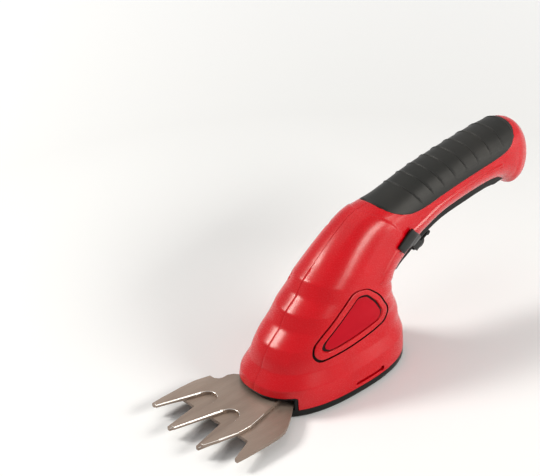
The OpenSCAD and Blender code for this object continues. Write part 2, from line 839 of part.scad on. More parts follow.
module gear(n, turn, a, b) {
  translate([0, 0, a])
    rotate([0, 0, turn])
      linear_extrude(height = b - a)
        polygon(gear_outline(n));
}
module at_xy(p) {
  translate([p[0], p[1], 0])
    children();
}

// Frame of the gears: a deck under them and a plate over them on four pillars, screwed to the sole
deck_front = 14*len_share;
deck_rear = 17.5*len_share;
deck_front_w = 41*(1 + wide_share)/2;
deck_rear_w = 34*wide_share;
pillar_d = 6.4;
pillar_inset = 4;
axle_d = 3;
out_shaft_d = 5;
bush_d = 8;
motor_boss_d = 10;
motor_boss_h = 1.6;
motor_screw_d = 2;
motor_screw_head_d = 3.6;
motor_screw_head_h = 1;
motor_screw_r = 8;
deck_x0 = out_at[0] - deck_front;
deck_x1 = motor_at[0] + deck_rear;
posts = [
  for (side = [-1, 1]) each [
    [deck_x0 + pillar_inset, side*(deck_front_w/2 - pillar_inset)],
    [deck_x1 - pillar_inset, side*(deck_rear_w/2 - pillar_inset)]
  ]
];
frame_screw_lift = 2;
frame_screw_low = sole_h + frame_screw_lift;
motor_screws_at = [
  for (side = [-1, 1]) motor_at + side*motor_screw_r*[cos(high_turn + 90), sin(high_turn + 90)]
];

module frame_plate(a, b) {
  translate([0, 0, a])
    linear_extrude(height = b - a)
      polygon([
        [deck_x0, -deck_front_w/2], [deck_x1, -deck_rear_w/2],
        [deck_x1, deck_rear_w/2], [deck_x0, deck_front_w/2]
      ]);
}
module gear_deck() {
  color([0.25, 0.25, 0.27])
    difference() {
      frame_plate(deck_z, deck_z + deck_t);
      at_xy(out_at)
        rod(bush_d, deck_z - over, deck_z + deck_t + over);
      at_xy(idle_at)
        rod(axle_d, deck_z - over, deck_z + deck_t + over);
      for (p = posts)
        at_xy(p)
          rod(screw_d + 2*play, deck_z - over, deck_z + deck_t + over);
    }
}
module gear_plate() {
  color([0.25, 0.25, 0.27])
    difference() {
      union() {
        frame_plate(plate_z, motor_z);
        for (p = posts)
          at_xy(p)
            rod(pillar_d, deck_z + deck_t, plate_z);
      }
      at_xy(out_at)
        rod(bush_d, plate_z - over, motor_z + over);
      at_xy(idle_at)
        rod(axle_d, plate_z - over, motor_z + over);
      at_xy(motor_at)
        rod(motor_boss_d + 2*play, plate_z - over, motor_z + over);
      for (p = motor_screws_at)
        at_xy(p)
          rod(motor_screw_d + fit, plate_z - over, motor_z + over);
      for (p = posts)
        at_xy(p)
          rod(screw_d + 2*play, deck_z, motor_z + over);
    }
}
module frame_screws() {
  color(steel)
    for (p = posts)
      at_xy(p) {
        rod(screw_d - fit, frame_screw_low, motor_z);
        rod(screw_head_d, motor_z, motor_z + screw_head_h);
      }
}
module output_bushes() {
  color(brass)
    at_xy(out_at)
      for (z = [[deck_z, deck_z + deck_t], [plate_z, motor_z]])
        difference() {
          rod(bush_d, z[0], z[1]);
          rod(out_shaft_d + 2*fit, z[0] - over, z[1] + over);
        }
}
module output_shaft() {
  color(steel)
    at_xy(out_at)
      rod(out_shaft_d, disc_mid, motor_z);
}
module output_gear() {
  color([0.85, 0.84, 0.78])
    at_xy(out_at)
      difference() {
        gear(output_n, idle_turn, low_gear_z, low_gear_z + low_gear_t);
        rod(out_shaft_d, low_gear_z - over, low_gear_z + low_gear_t + over);
      }
}
disc_rim = 2;
disc_d = 2*crank_r + crank_pin_d + 2*disc_rim;
pin_turn = -rest_swing - asin(crank_gap*sin(rest_swing)/crank_r);
module at_pin() {
  at_xy(out_at)
    rotate([0, 0, pin_turn])
      translate([crank_r, 0, 0])
        children();
}
module crank_disc() {
  color(steel)
    difference() {
      at_xy(out_at)
        rod(disc_d, disc_z, disc_z + disc_t);
      at_xy(out_at)
        rod(out_shaft_d, disc_mid, disc_z + disc_t + over);
      at_pin()
        rod(crank_pin_d, disc_z - over, disc_mid);
    }
}
module crank_pin() {
  color(steel)
    at_pin()
      rod(crank_pin_d, pin_z, disc_mid);
}
module idle_axle() {
  color(steel)
    at_xy(idle_at)
      rod(axle_d, deck_z, motor_z);
}
module idle_gear() {
  color([0.85, 0.84, 0.78])
    at_xy(idle_at)
      difference() {
        union() {
          gear(idle_small_n, idle_turn + 180 + 180/idle_small_n, low_gear_z, high_gear_z + high_gear_t);
          gear(idle_big_n, high_turn, high_gear_z, high_gear_z + high_gear_t);
        }
        rod(axle_d + 2*fit, deck_z, motor_z);
      }
}

// Motor: can, end cap, bushes, magnets and the turning parts
can_wall = 1.1;
can_floor = 1.4;
cap_t = 6;
shaft_d = 2.3;
motor_bush_d = 6;
motor_bush_len = 3.4;
magnet_t = 2.6;
magnet_gap_w = 9;
magnet_play = 0.2;
rotor_gap = 0.5;
rotor_from = 5;
rotor_len = 17*high_share;
rotor_slots = 5;
rotor_slot_w = 2.2;
comm_gap = 2;
comm_len = 5*high_share;
comm_d = 8;
cap_wall = 1.6;
terminal_w = 3;
terminal_t = 0.6;
terminal_h = 4;
can_top = motor_z + motor_len;
magnet_out_d = motor_d - 2*can_wall - 2*magnet_play;
rotor_d = magnet_out_d - 2*magnet_t - 2*rotor_gap;
comm_z = motor_z + rotor_from + rotor_len + comm_gap;

module motor_can() {
  color(steel)
    at_xy(motor_at)
      difference() {
        union() {
          rod(motor_d, motor_z, can_top);
          rod(motor_boss_d, motor_z - motor_boss_h, motor_z);
        }
        rod(motor_d - 2*can_wall, motor_z + can_floor, can_top + over);
        rod(motor_bush_d, motor_z - motor_boss_h - over, motor_z + can_floor + over);
      }
}
module motor_cap() {
  color(black)
    at_xy(motor_at) {
      difference() {
        union() {
          rod(motor_d, can_top, can_top + cap_wall);
          rod(2*motor_bush_d, can_top + cap_wall, can_top + cap_t);
        }
        rod(motor_bush_d, can_top - over, can_top + cap_t - cap_wall);
      }
      for (side = [-1, 1])
        translate([0, side*motor_screw_r, 0])
          box([-terminal_w/2, -terminal_t/2, can_top + cap_wall],
              [terminal_w/2, terminal_t/2, can_top + cap_wall + terminal_h]);
    }
}
module motor_bushes() {
  color(brass)
    at_xy(motor_at)
      for (z = [motor_z - motor_boss_h, can_top + cap_t - cap_wall - motor_bush_len])
        difference() {
          rod(motor_bush_d, z, z + motor_bush_len);
          rod(shaft_d + 2*fit, z - over, z + motor_bush_len + over);
        }
}
module motor_screws() {
  color(steel)
    for (p = motor_screws_at)
      at_xy(p) {
        rod(motor_screw_d, plate_z, motor_z);
        rod(motor_screw_head_d, plate_z - motor_screw_head_h, plate_z);
      }
}
module motor_magnets() {
  color([0.2, 0.2, 0.22])
    at_xy(motor_at)
      difference() {
        rod(magnet_out_d, motor_z + can_floor + play, motor_z + rotor_from + rotor_len);
        rod(magnet_out_d - 2*magnet_t, motor_z, can_top);
        even_box(-motor_d, motor_d, magnet_gap_w/2, motor_z, can_top);
      }
}
module motor_shaft() {
  color(steel)
    at_xy(motor_at)
      rod(shaft_d, high_gear_z - play, can_top + cap_t - cap_wall - play);
}
module motor_rotor() {
  color([0.5, 0.3, 0.15])
    at_xy(motor_at)
      difference() {
        rod(rotor_d, motor_z + rotor_from, motor_z + rotor_from + rotor_len);
        rod(shaft_d, motor_z, can_top);
        for (i = [0:rotor_slots - 1])
          rotate([0, 0, 360*i/rotor_slots])
            box([rotor_d/4, -rotor_slot_w/2, motor_z], [rotor_d, rotor_slot_w/2, can_top]);
      }
}
module motor_commutator() {
  color(brass)
    at_xy(motor_at)
      difference() {
        rod(comm_d, comm_z, comm_z + comm_len);
        rod(shaft_d, comm_z - over, comm_z + comm_len + over);
      }
}
module motor_pinion() {
  color(brass)
    at_xy(motor_at)
      difference() {
        gear(pinion_n, high_turn + 180 + 180/pinion_n,
             high_gear_z - play, high_gear_z + high_gear_t + play);
        rod(shaft_d, high_gear_z - over, motor_z);
      }
}

// Handle: battery and its holder, with a web in front that carries the switch and the board
cell_wall = 1.1;
cell_play = 0.2;
cell_lift = 1.2;
cell_from = 17;
cell_to = 22;
holder_h = 7;
// Room in the handle: across it between the walls, and up it over the lever's hinge
holder_gap = 0.8;
holder_w = 2*(width_at(cell_from) - depth(cell_from) - holder_gap);
hinge_room = norm(half_at(cell_to)) - pivot_sink - lever_end_d/2 + cell_lift;
cell_room = min(holder_w, 2*hinge_room);
cell_d = cell_share*cell_room;
cell_len = cell_len_share*body_len;
web_t = 2;
web_y = 5.3;
web_x_share = 0.1156;
web_step_share = 0.2222;
web_rise_share = 0.2667;
web_low_share = 0.639;
web_high_share = 0.8056;
web_rise = 6;
web_x = web_x_share*body_len;
web_step_x = web_step_share*body_len;
web_rise_x = web_rise_share*body_len;
web_low = sole_h + web_low_share*rise;
web_high = sole_h + web_high_share*rise;
cell_way = mid_at(cell_to) - mid_at(cell_from);
cell_tilt = atan2(cell_way[1], cell_way[0]);
cell_mid = (mid_at(cell_from) + mid_at(cell_to))/2 + [0, cell_lift];
cell_shift_share = 0.0133;
cell_shift = -cell_shift_share*body_len;

module along_cell() {
  at_xz(cell_mid)
    rotate([0, -cell_tilt, 0])
      translate([cell_shift, 0, 0])
        children();
}
module battery_cell() {
  color([0.2, 0.45, 0.3])
    along_cell()
      long_rod(cell_d, -cell_len/2, cell_len/2);
}
tab_t = 0.3;
tab_w = 7;
tab_h = 13;
module battery_tabs() {
  color([0.8, 0.8, 0.78])
    along_cell()
      for (x = [-cell_len/2 - tab_t, cell_len/2])
        box([x, -tab_w/2, -tab_h/2], [x + tab_t, tab_w/2, tab_h/2]);
}
module battery_holder() {
  color([0.2, 0.2, 0.2])
    difference() {
      union() {
        along_cell() {
          long_rod(cell_d + 2*cell_play + 2*cell_wall, -cell_len/2, cell_len/2);
          even_box(-cell_len/2, cell_len/2, holder_w/2, -holder_h/2, holder_h/2);
        }
        translate([0, web_y + web_t/2, 0])
          side_plate(web_t, [
            [web_x, web_low], [web_step_x, web_low], [web_rise_x, web_low + web_rise],
            [web_end_x, web_low + web_rise], [web_end_x, web_high], [web_x, web_high]
          ]);
      }
      along_cell()
        long_rod(cell_d + 2*cell_play, -cell_len/2 - over, cell_len/2 + over);
      for (b = boss_shares)
        at_xz(place_at(b[0], b[1]))
          cross_rod(boss_d + 2*play, -body_w, body_w);
    }
}
web_end_x = cell_mid[0] + cell_shift - cell_len/2 + holder_h;

// Switch, its plunger and return spring, over a pad on the lever
switch_x_share = 0.2956;
switch_low_share = 0.648;
pad_top_share = 0.5833;
switch_len_share = 0.071;
switch_len = switch_len_share*body_len;
switch_w = 10;
switch_h = 15;
switch_x = switch_x_share*body_len;
switch_low = sole_h + switch_low_share*rise;
switch_high = switch_low + switch_h;
plunger_d = 4;
plunger_in = 2;
plunger_fit = 0.1;
plunger_gap = 0.4;
plunger_stroke = 3.6;
pad_top = sole_h + pad_top_share*rise;
pad_d = 9;
spring_d = 6;
spring_wire = 0.6;
spring_curls = 4;
module at_switch() {
  translate([switch_x, 0, 0])
    children();
}
module switch_body() {
  color([0.15, 0.15, 0.18])
    at_switch() {
      difference() {
        even_box(-switch_len/2, switch_len/2, switch_w/2, switch_low, switch_high);
        rod(plunger_d + 2*plunger_fit, switch_low - over, switch_low + plunger_in + plunger_stroke + play);
      }
      for (side = [-1, 1])
        translate([side*switch_len/4, 0, 0])
          box([-terminal_w/2, -terminal_t/2, switch_high],
              [terminal_w/2, terminal_t/2, switch_high + terminal_h/2]);
    }
}
module switch_plunger() {
  color([0.8, 0.8, 0.8])
    at_switch()
      rod(plunger_d, pad_top + plunger_gap, switch_low + plunger_in);
}
module trigger_spring() {
  color(steel)
    at_switch()
      coil(spring_d, spring_wire, spring_curls, pad_top + fit, switch_low - fit);
}

// Trigger lever along the underside of the handle, hinged near its rear end
module trigger_lever() {
  color(black)
    difference() {
      union() {
        side_plate(lever_w, lever_outline(0, 0));
        side_plate(lever_w, lever_heel(0));
        at_xz(lever_pivot)
          cross_rod(lever_end_d, -lever_w/2, lever_w/2);
        at_xz(lever_tail)
          cross_rod(lever_tail_d, -lever_w/2, lever_w/2);
        at_switch()
          rod(pad_d, pad_top - lever_sink, pad_top);
      }
      at_xz(lever_pivot)
        cross_rod(lever_pin_d + 2*fit, -lever_w, lever_w);
    }
}
module trigger_pin() {
  color(steel)
    at_xz(lever_pivot)
      cross_rod(lever_pin_d, -pin_reach + play, pin_reach - play);
}

// Lock-off saddle round the neck, under the lever, with a finger nub and two guide tabs
lock_steps = 16;
lock_plate_steps = 6;
lock_open = 90;
function lock_low(s, extra) = under_at(s) + down_at(s)*(lever_proud_at(s) + lock_drop + extra);
function lock_point(a, extra) =
  let (h = norm(half_at(lock_s)) + lever_proud_at(lock_s) + lock_band_drop + extra)
  [(lock_side + extra)*power(sin(a), 2/lock_square), h*power(cos(a), 2/lock_square)];
module lock_off_slider() {
  turn = atan2(-half_at(lock_s)[0], half_at(lock_s)[1]);
  arc = [for (i = [0:lock_steps]) lock_open + (360 - 2*lock_open)*i/lock_steps];
  run = [for (i = [0:lock_plate_steps]) lock_front_s + (lock_rear_s - lock_front_s)*i/lock_plate_steps];
  band = concat(
    [for (a = arc) lock_point(a, 0)],
    [for (i = [lock_steps:-1:0]) lock_point(arc[i], lock_t)]
  );
  plate = concat(
    [for (s = run) lock_low(s, 0)],
    [for (i = [lock_plate_steps:-1:0]) lock_low(run[i], lock_t)]
  );
  color(black) {
    at_xz(mid_at(lock_s))
      rotate([0, -turn, 0])
        rotate([90, 0, 90])
          linear_extrude(height = lock_band, center = true)
            polygon(band);
    side_plate(lock_plate_w, plate);
    for (side = [-1, 1])
      scale([1, side, 1])
        lock_frame() {
          box([-lock_len/2, lock_side, -lock_cheek_h/2], [lock_len/2, lock_side + lock_t, lock_cheek_h/2]);
          box([-lock_tab_len/2, lock_side - lock_gap - wall, -lock_tab_h/2],
              [lock_tab_len/2, lock_side + lock_t/2, lock_tab_h/2]);
        }
    at_xz(lock_low(lock_nub_s, (lock_t + lock_nub_d)/2))
      cross_rod(lock_nub_d, -lock_nub_w/2, lock_nub_w/2);
  }
}

// Circuit board on the web, charge socket and charge light in the end of the handle
board_t = 1.6;
board_gap = 0.3;
board_lead = 1;
board_x = web_x + board_lead;
board_len = 13*len_share;
board_h = web_high - web_low - 2*over;
chip_h = 1.4;
chip_w = 5;
module circuit_board() {
  y = web_y - board_gap;
  color([0.1, 0.4, 0.2]) {
    box([board_x, y - board_t, web_low + over], [board_x + board_len, y, web_low + over + board_h]);
    for (i = [0, 1])
      translate([board_x + chip_w/2 + i*(board_len - 2*chip_w), 0, web_low + board_h/2 - chip_w/2])
        box([0, y - board_t - chip_h, 0], [chip_w, y - board_t, chip_w]);
  }
}
socket_len = 9;
socket_bore_d = 5.6;
socket_bore_len = 8;
socket_pin_d = 1.6;
socket_end_x = top_at(last)[0] - play;
module charge_socket() {
  color(black)
    translate([0, 0, socket_z]) {
      difference() {
        long_rod(socket_d, socket_end_x - socket_len, socket_end_x);
        long_rod(socket_bore_d, socket_end_x - socket_bore_len, socket_end_x + over);
      }
      long_rod(socket_pin_d, socket_end_x - socket_bore_len - fit, socket_end_x - play);
    }
}
light_len = 6;
module charge_light() {
  color([0.9, 0.3, 0.2])
    translate([0, 0, light_z])
      long_rod(light_d, socket_end_x - light_len, socket_end_x - play);
}

left_housing();
right_housing();
grip_cover();
left_badge();
right_badge();
housing_screws();
sole_plate();
sole_screws();
blade_holder();
lower_blade();
blade_rivets();
blade_pivot();
pivot_washer();
upper_blade();
blade_latch();
latch_spring();
gear_deck();
gear_plate();
frame_screws();
output_bushes();
output_shaft();
output_gear();
crank_disc();
crank_pin();
idle_axle();
idle_gear();
motor_can();
motor_cap();
motor_bushes();
motor_screws();
motor_magnets();
motor_shaft();
motor_rotor();
motor_commutator();
motor_pinion();
battery_cell();
battery_tabs();
battery_holder();
switch_body();
switch_plunger();
trigger_lever();
trigger_pin();
trigger_spring();
lock_off_slider();
circuit_board();
charge_socket();
charge_light();
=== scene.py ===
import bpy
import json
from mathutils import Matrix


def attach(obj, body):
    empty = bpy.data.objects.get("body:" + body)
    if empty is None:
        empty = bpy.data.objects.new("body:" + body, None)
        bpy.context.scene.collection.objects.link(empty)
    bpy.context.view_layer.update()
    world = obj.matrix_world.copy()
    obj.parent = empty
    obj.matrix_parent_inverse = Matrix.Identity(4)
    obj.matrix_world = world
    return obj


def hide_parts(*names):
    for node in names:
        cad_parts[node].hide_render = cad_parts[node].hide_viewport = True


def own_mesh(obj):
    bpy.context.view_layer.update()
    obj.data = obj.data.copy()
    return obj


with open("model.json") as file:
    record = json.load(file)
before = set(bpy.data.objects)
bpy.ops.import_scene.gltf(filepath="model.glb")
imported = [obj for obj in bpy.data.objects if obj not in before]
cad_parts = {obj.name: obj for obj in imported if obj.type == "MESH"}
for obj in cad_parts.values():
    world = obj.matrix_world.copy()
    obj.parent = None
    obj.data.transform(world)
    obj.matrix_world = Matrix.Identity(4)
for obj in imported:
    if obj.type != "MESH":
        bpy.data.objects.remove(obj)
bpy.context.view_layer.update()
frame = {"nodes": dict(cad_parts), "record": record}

import json
import math
import bpy
from mathutils import Vector

# Studio: a pale floor, a white surround, three soft boxes, a ceiling panel and the photograph's camera.
# The surround and the far floor show pale to the camera and in reflections; the floor keeps the shadow.
scene = bpy.context.scene
scene.view_settings.view_transform = 'Standard'
IMAGE_W, IMAGE_H = 540, 476
MM = 0.001


def node_material(name):
    """An empty node material with its output, to which a section adds its own finish."""
    material = bpy.data.materials.new(name)
    material.use_nodes = True
    nodes = material.node_tree.nodes
    return material, nodes, material.node_tree.links, nodes['Principled BSDF']


def aim(obj, place, target):
    """Puts a lamp or a camera at a place and turns its -Z axis to the target."""
    obj.location = place
    obj.rotation_euler = (Vector(target) - Vector(place)).to_track_quat('-Z', 'Y').to_euler()


camera_data = bpy.data.cameras.new('photo_camera')
camera = bpy.data.objects.new('photo_camera', camera_data)
scene.collection.objects.link(camera)
scene.camera = camera
camera_data.sensor_fit = 'HORIZONTAL'
camera_data.sensor_width = 36.0
FOCAL_PX = 1554.0
camera_data.lens = camera_data.sensor_width*FOCAL_PX/IMAGE_W
camera_data.clip_start = 0.01
camera_data.clip_end = 20.0
CAMERA_AZIMUTH, CAMERA_ELEVATION, CAMERA_DISTANCE = math.radians(-45.1), math.radians(32.0), 0.900
CAMERA_LOOKS_AT = Vector((0.020, 0.0, 0.045))
LOOKS_AT_PIXEL = (346.9, 292.0)
away = Vector((
    math.sin(CAMERA_AZIMUTH)*math.cos(CAMERA_ELEVATION),
    -math.cos(CAMERA_AZIMUTH)*math.cos(CAMERA_ELEVATION),
    math.sin(CAMERA_ELEVATION),
))
aim(camera, CAMERA_LOOKS_AT + away*CAMERA_DISTANCE, CAMERA_LOOKS_AT)
pan = math.atan((LOOKS_AT_PIXEL[0] - IMAGE_W/2)/FOCAL_PX)
tilt = math.atan((LOOKS_AT_PIXEL[1] - IMAGE_H/2)/FOCAL_PX)
camera.rotation_mode = 'QUATERNION'
turn = camera.rotation_euler.to_quaternion()
seen = Vector((math.tan(pan), -math.tan(tilt), -1.0)).normalized()
camera.rotation_quaternion = turn @ seen.rotation_difference(Vector((0.0, 0.0, -1.0)))

world = bpy.data.worlds.new('white_surround')
scene.world = world
world.use_nodes = True
surround = world.node_tree.nodes['Background']
surround.inputs['Color'].default_value = (1.0, 1.0, 1.0, 1.0)
path = world.node_tree.nodes.new('ShaderNodeLightPath')
direct = world.node_tree.nodes.new('ShaderNodeMath')
direct.operation = 'MAXIMUM'
shown = world.node_tree.nodes.new('ShaderNodeMath')
shown.operation = 'MAXIMUM'
level = world.node_tree.nodes.new('ShaderNodeMapRange')
level.inputs['To Min'].default_value = 0.16
level.inputs['To Max'].default_value = 0.7
world.node_tree.links.new(path.outputs['Is Camera Ray'], direct.inputs[0])
world.node_tree.links.new(path.outputs['Is Glossy Ray'], direct.inputs[1])
world.node_tree.links.new(direct.outputs['Value'], shown.inputs[0])
world.node_tree.links.new(path.outputs['Is Transmission Ray'], shown.inputs[1])
world.node_tree.links.new(shown.outputs['Value'], level.inputs['Value'])
world.node_tree.links.new(level.outputs['Result'], surround.inputs['Strength'])

for lamp_name, place, width, height, power in [
    ('front_softbox', (0.36, -1.06, 0.66), 0.80, 0.28, 11.5),
    ('back_softbox', (-0.65, 0.70, 0.86), 0.36, 0.36, 11.0),
    ('side_softbox', (0.89, -0.80, 0.20), 0.36, 0.24, 2.0),
    ('ceiling_panel', (0.0, 0.6, 2.40), 2.60, 2.60, 16.0),
]:
    lamp_data = bpy.data.lights.new(lamp_name, 'AREA')
    lamp_data.shape = 'RECTANGLE'
    lamp_data.size = width
    lamp_data.size_y = height
    lamp_data.energy = power
    lamp_data.color = (1.0, 0.95, 0.87)
    lamp = bpy.data.objects.new(lamp_name, lamp_data)
    lamp.visible_camera = False
    scene.collection.objects.link(lamp)
    aim(lamp, place, (0.02, 0.0, 0.04))

bpy.ops.object.select_all(action='DESELECT')
bpy.ops.mesh.primitive_plane_add(size=12.0, location=(0.0, 0.0, -0.0002))
floor = bpy.context.object
floor.name = 'studio_floor'
floor_paint, nodes, links, finish = node_material('floor_paint')
finish.inputs['Base Color'].default_value = (0.89, 0.92, 0.96, 1.0)
finish.inputs['Roughness'].default_value = 0.9
finish.inputs['Specular IOR Level'].default_value = 0.0
spot = nodes.new('ShaderNodeTexCoord')
far = nodes.new('ShaderNodeVectorMath')
far.operation = 'LENGTH'
links.new(spot.outputs['Object'], far.inputs[0])
fade = nodes.new('ShaderNodeMapRange')
fade.inputs['From Min'].default_value = 0.35
fade.inputs['From Max'].default_value = 1.60
fade.inputs['To Max'].default_value = 0.85
links.new(far.outputs['Value'], fade.inputs['Value'])
path = nodes.new('ShaderNodeLightPath')
rays = nodes.new('ShaderNodeMath')
rays.operation = 'ADD'
rays.use_clamp = True
links.new(path.outputs['Is Camera Ray'], rays.inputs[0])
links.new(path.outputs['Is Glossy Ray'], rays.inputs[1])
more_rays = nodes.new('ShaderNodeMath')
more_rays.operation = 'ADD'
more_rays.use_clamp = True
links.new(rays.outputs['Value'], more_rays.inputs[0])
links.new(path.outputs['Is Transmission Ray'], more_rays.inputs[1])
lift = nodes.new('ShaderNodeMath')
lift.operation = 'MULTIPLY'
links.new(fade.outputs['Result'], lift.inputs[0])
links.new(more_rays.outputs['Value'], lift.inputs[1])
finish.inputs['Emission Color'].default_value = (1.0, 1.0, 1.0, 1.0)
links.new(lift.outputs['Value'], finish.inputs['Emission Strength'])
floor.data.materials.append(floor_paint)

# Housing halves: two red injection-moulded shells that meet on the middle plane and are screwed together.
# The body is lofted through stations up the dome and along the handle, with crisp terraces in front.
# Each row: front or top x, z, rear or under x, z, half width and squareness of the section, in mm.
BODY_ROWS = [
    (-54.5, 5.0, 54.5, 5.0, 31.8, 2.5), (-55.0, 11.0, 54.5, 11.0, 31.8, 2.5),
    (-53.6, 17.5, 54.0, 17.5, 31.4, 2.5), (-48.0, 25.2, 51.9, 25.0, 28.1, 2.5),
    (-45.6, 31.6, 51.7, 30.0, 27.3, 2.45), (-42.1, 37.2, 50.5, 34.5, 26.4, 2.4),
    (-33.2, 45.2, 48.8, 37.0, 25.8, 2.4), (-28.4, 53.6, 47.9, 42.0, 24.4, 2.3),
    (-19.9, 60.5, 47.5, 44.5, 23.8, 2.3), (-14.7, 68.4, 47.8, 47.5, 22.4, 2.25),
    (-6.5, 74.8, 48.6, 49.0, 21.8, 2.25), (2.0, 82.0, 50.0, 51.0, 20.8, 2.2),
    (13.5, 90.5, 53.5, 53.5, 19.6, 2.2), (24.0, 96.5, 59.0, 56.5, 18.5, 2.2),
    (34.0, 98.0, 66.0, 60.5, 17.6, 2.2), (45.0, 98.3, 74.0, 65.0, 17.0, 2.2),
    (58.0, 101.0, 82.0, 68.5, 16.7, 2.2), (73.0, 104.5, 91.0, 71.5, 16.5, 2.2),
    (89.0, 107.0, 102.0, 73.5, 16.5, 2.2), (106.0, 109.0, 114.0, 75.0, 16.5, 2.2),
    (121.0, 110.6, 126.0, 76.0, 16.6, 2.2), (134.0, 111.7, 136.0, 76.0, 16.8, 2.2),
    (144.0, 112.5, 144.0, 74.0, 16.8, 2.2), (152.6, 112.8, 151.0, 69.5, 16.0, 2.2),
    (160.8, 108.3, 157.5, 66.0, 14.0, 2.2), (166.9, 100.4, 163.5, 68.0, 11.0, 2.2),
    (169.8, 90.0, 168.0, 76.0, 6.0, 2.2),
]
LAST = len(BODY_ROWS) - 1
# How far each station's corner is rounded, as a share of the way to its neighbours: small is crisp
CORNER_SHARES = {1: 0.30, 2: 0.07, 3: 0.07, 5: 0.10, 6: 0.14, 7: 0.10, 8: 0.14, 9: 0.10, 10: 0.16}
SOFT_CORNER = 0.5


def row_at(i):
    return BODY_ROWS[max(0, min(LAST, i))]


def smooth_row(s):
    """A station's row on a smooth curve through all the rows."""
    i = min(int(s), LAST - 1)
    u = s - i
    a, b, c, d = row_at(i - 1), row_at(i), row_at(i + 1), row_at(i + 2)
    return [
        (2*q + (r - p)*u + (2*p - 5*q + 4*r - t)*u*u + (3*q - p - 3*r + t)*u*u*u)/2
        for p, q, r, t in zip(a, b, c, d)
    ]


def crisp_row(s):
    """A station's row on straight runs between the rows, with rounded corners at them."""
    i = int(round(s))
    corner = CORNER_SHARES.get(i, SOFT_CORNER)
    if i <= 0 or i >= LAST or abs(s - i) >= corner:
        j = min(int(s), LAST - 1)
        u = s - j
        return [p + (q - p)*u for p, q in zip(row_at(j), row_at(j + 1))]
    u = (s - i + corner)/(2*corner)
    before = [q + (p - q)*corner for p, q in zip(row_at(i - 1), row_at(i))]
    after = [q + (p - q)*corner for p, q in zip(row_at(i + 1), row_at(i))]
    return [(1 - u)**2*p + 2*u*(1 - u)*q + u*u*r for p, q, r in zip(before, row_at(i), after)]


def step(x, low, high):
    """Rises smoothly from 0 at low to 1 at high."""
    u = max(0.0, min(1.0, (x - low)/(high - low)))
    return u*u*(3 - 2*u)


def signed_power(v, e):
    return math.copysign(abs(v)**e, v)


CRISP_TURNS = (55.0, 115.0)


def skin(s, a, depth=0.0):
    """A point of the skin in metres: station s, a degrees round from the top or front, sunk by depth mm."""
    crisp = max(1 - step(abs(a), *CRISP_TURNS), 1 - step(s, 3.3, 4.0))
    front_x, front_z, rear_x, rear_z, half, square = [
        p + (q - p)*crisp for p, q in zip(smooth_row(s), crisp_row(s))
    ]
    up = Vector((front_x - rear_x, front_z - rear_z))/2
    share = (up.length - depth)/up.length*signed_power(math.cos(math.radians(a)), 2/square)
    x = (front_x + rear_x)/2 + up.x*share
    z = (front_z + rear_z)/2 + up.y*share
    y = (half - depth)*signed_power(math.sin(math.radians(a)), 2/square)
    return Vector((x, y, z))*MM


def select_only(piece):
    bpy.ops.object.select_all(action='DESELECT')
    piece.select_set(True)
    bpy.context.view_layer.objects.active = piece


def wrapped_grid(name, rows, columns, place):
    """A grid of rows by columns laid over a form, whose points place(row, column) gives."""
    bpy.ops.object.select_all(action='DESELECT')
    bpy.ops.mesh.primitive_grid_add(x_subdivisions=len(rows) - 1, y_subdivisions=len(columns) - 1, size=2.0)
    piece = bpy.context.object
    piece.name = name
    for vertex in piece.data.vertices:
        i = round((vertex.co.x + 1)/2*(len(rows) - 1))
        j = round((vertex.co.y + 1)/2*(len(columns) - 1))
        vertex.co = place(rows[i], columns[j])
    return piece


def clean(piece, gap=0.00001):
    """Merges doubles and turns all faces outwards."""
    select_only(piece)
    bpy.ops.object.mode_set(mode='EDIT')
    bpy.ops.mesh.select_all(action='SELECT')
    bpy.ops.mesh.remove_doubles(threshold=gap)
    bpy.ops.mesh.normals_make_consistent(inside=False)
    bpy.ops.object.mode_set(mode='OBJECT')


def apply_modifier(piece, kind, **settings):
    select_only(piece)
    modifier = piece.modifiers.new(kind.lower(), kind)
    for key, value in settings.items():
        setattr(modifier, key, value)
    bpy.ops.object.modifier_apply(modifier=modifier.name)


def prism(name, outline, low, high, axis):
    """A closed prism from an outline in mm, across the axis 'X', 'Y' or 'Z', from low to high."""
    bpy.ops.object.select_all(action='DESELECT')
    bpy.ops.mesh.primitive_circle_add(vertices=len(outline), fill_type='NGON', radius=1.0)
    piece = bpy.context.object
    piece.name = name
    order = {'X': (2, 0, 1), 'Y': (0, 2, 1), 'Z': (0, 1, 2)}[axis]
    for vertex, (p, q) in zip(piece.data.vertices, outline):
        spot = (p, q, low)
        vertex.co = Vector([spot[k] for k in order])*MM
    bpy.ops.object.mode_set(mode='EDIT')
    bpy.ops.mesh.select_all(action='SELECT')
    shift = [0.0, 0.0, (high - low)*MM]
    bpy.ops.mesh.extrude_region_move(TRANSFORM_OT_translate={'value': [shift[k] for k in order]})
    bpy.ops.object.mode_set(mode='OBJECT')
    clean(piece)
    return piece


def round_outline(points, radius, steps=5):
    """The outline with each corner rounded, in mm."""
    out = []
    for k, here in enumerate(points):
        here, back, on = Vector(here), Vector(points[k - 1]), Vector(points[(k + 1) % len(points)])
        reach = min(radius, (back - here).length/2.01, (on - here).length/2.01)
        a = here + (back - here).normalized()*reach
        b = here + (on - here).normalized()*reach
        for i in range(steps + 1):
            u = i/steps
            out.append(tuple((1 - u)**2*a + 2*u*(1 - u)*here + u*u*b))
    return out


def cut(piece, *cutters):
    """Cuts closed pieces out of a piece and deletes them."""
    for cutter in cutters:
        apply_modifier(piece, 'BOOLEAN', operation='DIFFERENCE', object=cutter, solver='EXACT')
        bpy.data.objects.remove(cutter, do_unlink=True)


def smooth_shade(piece, angle=32.0):
    select_only(piece)
    bpy.ops.object.shade_smooth_by_angle(angle=math.radians(angle))


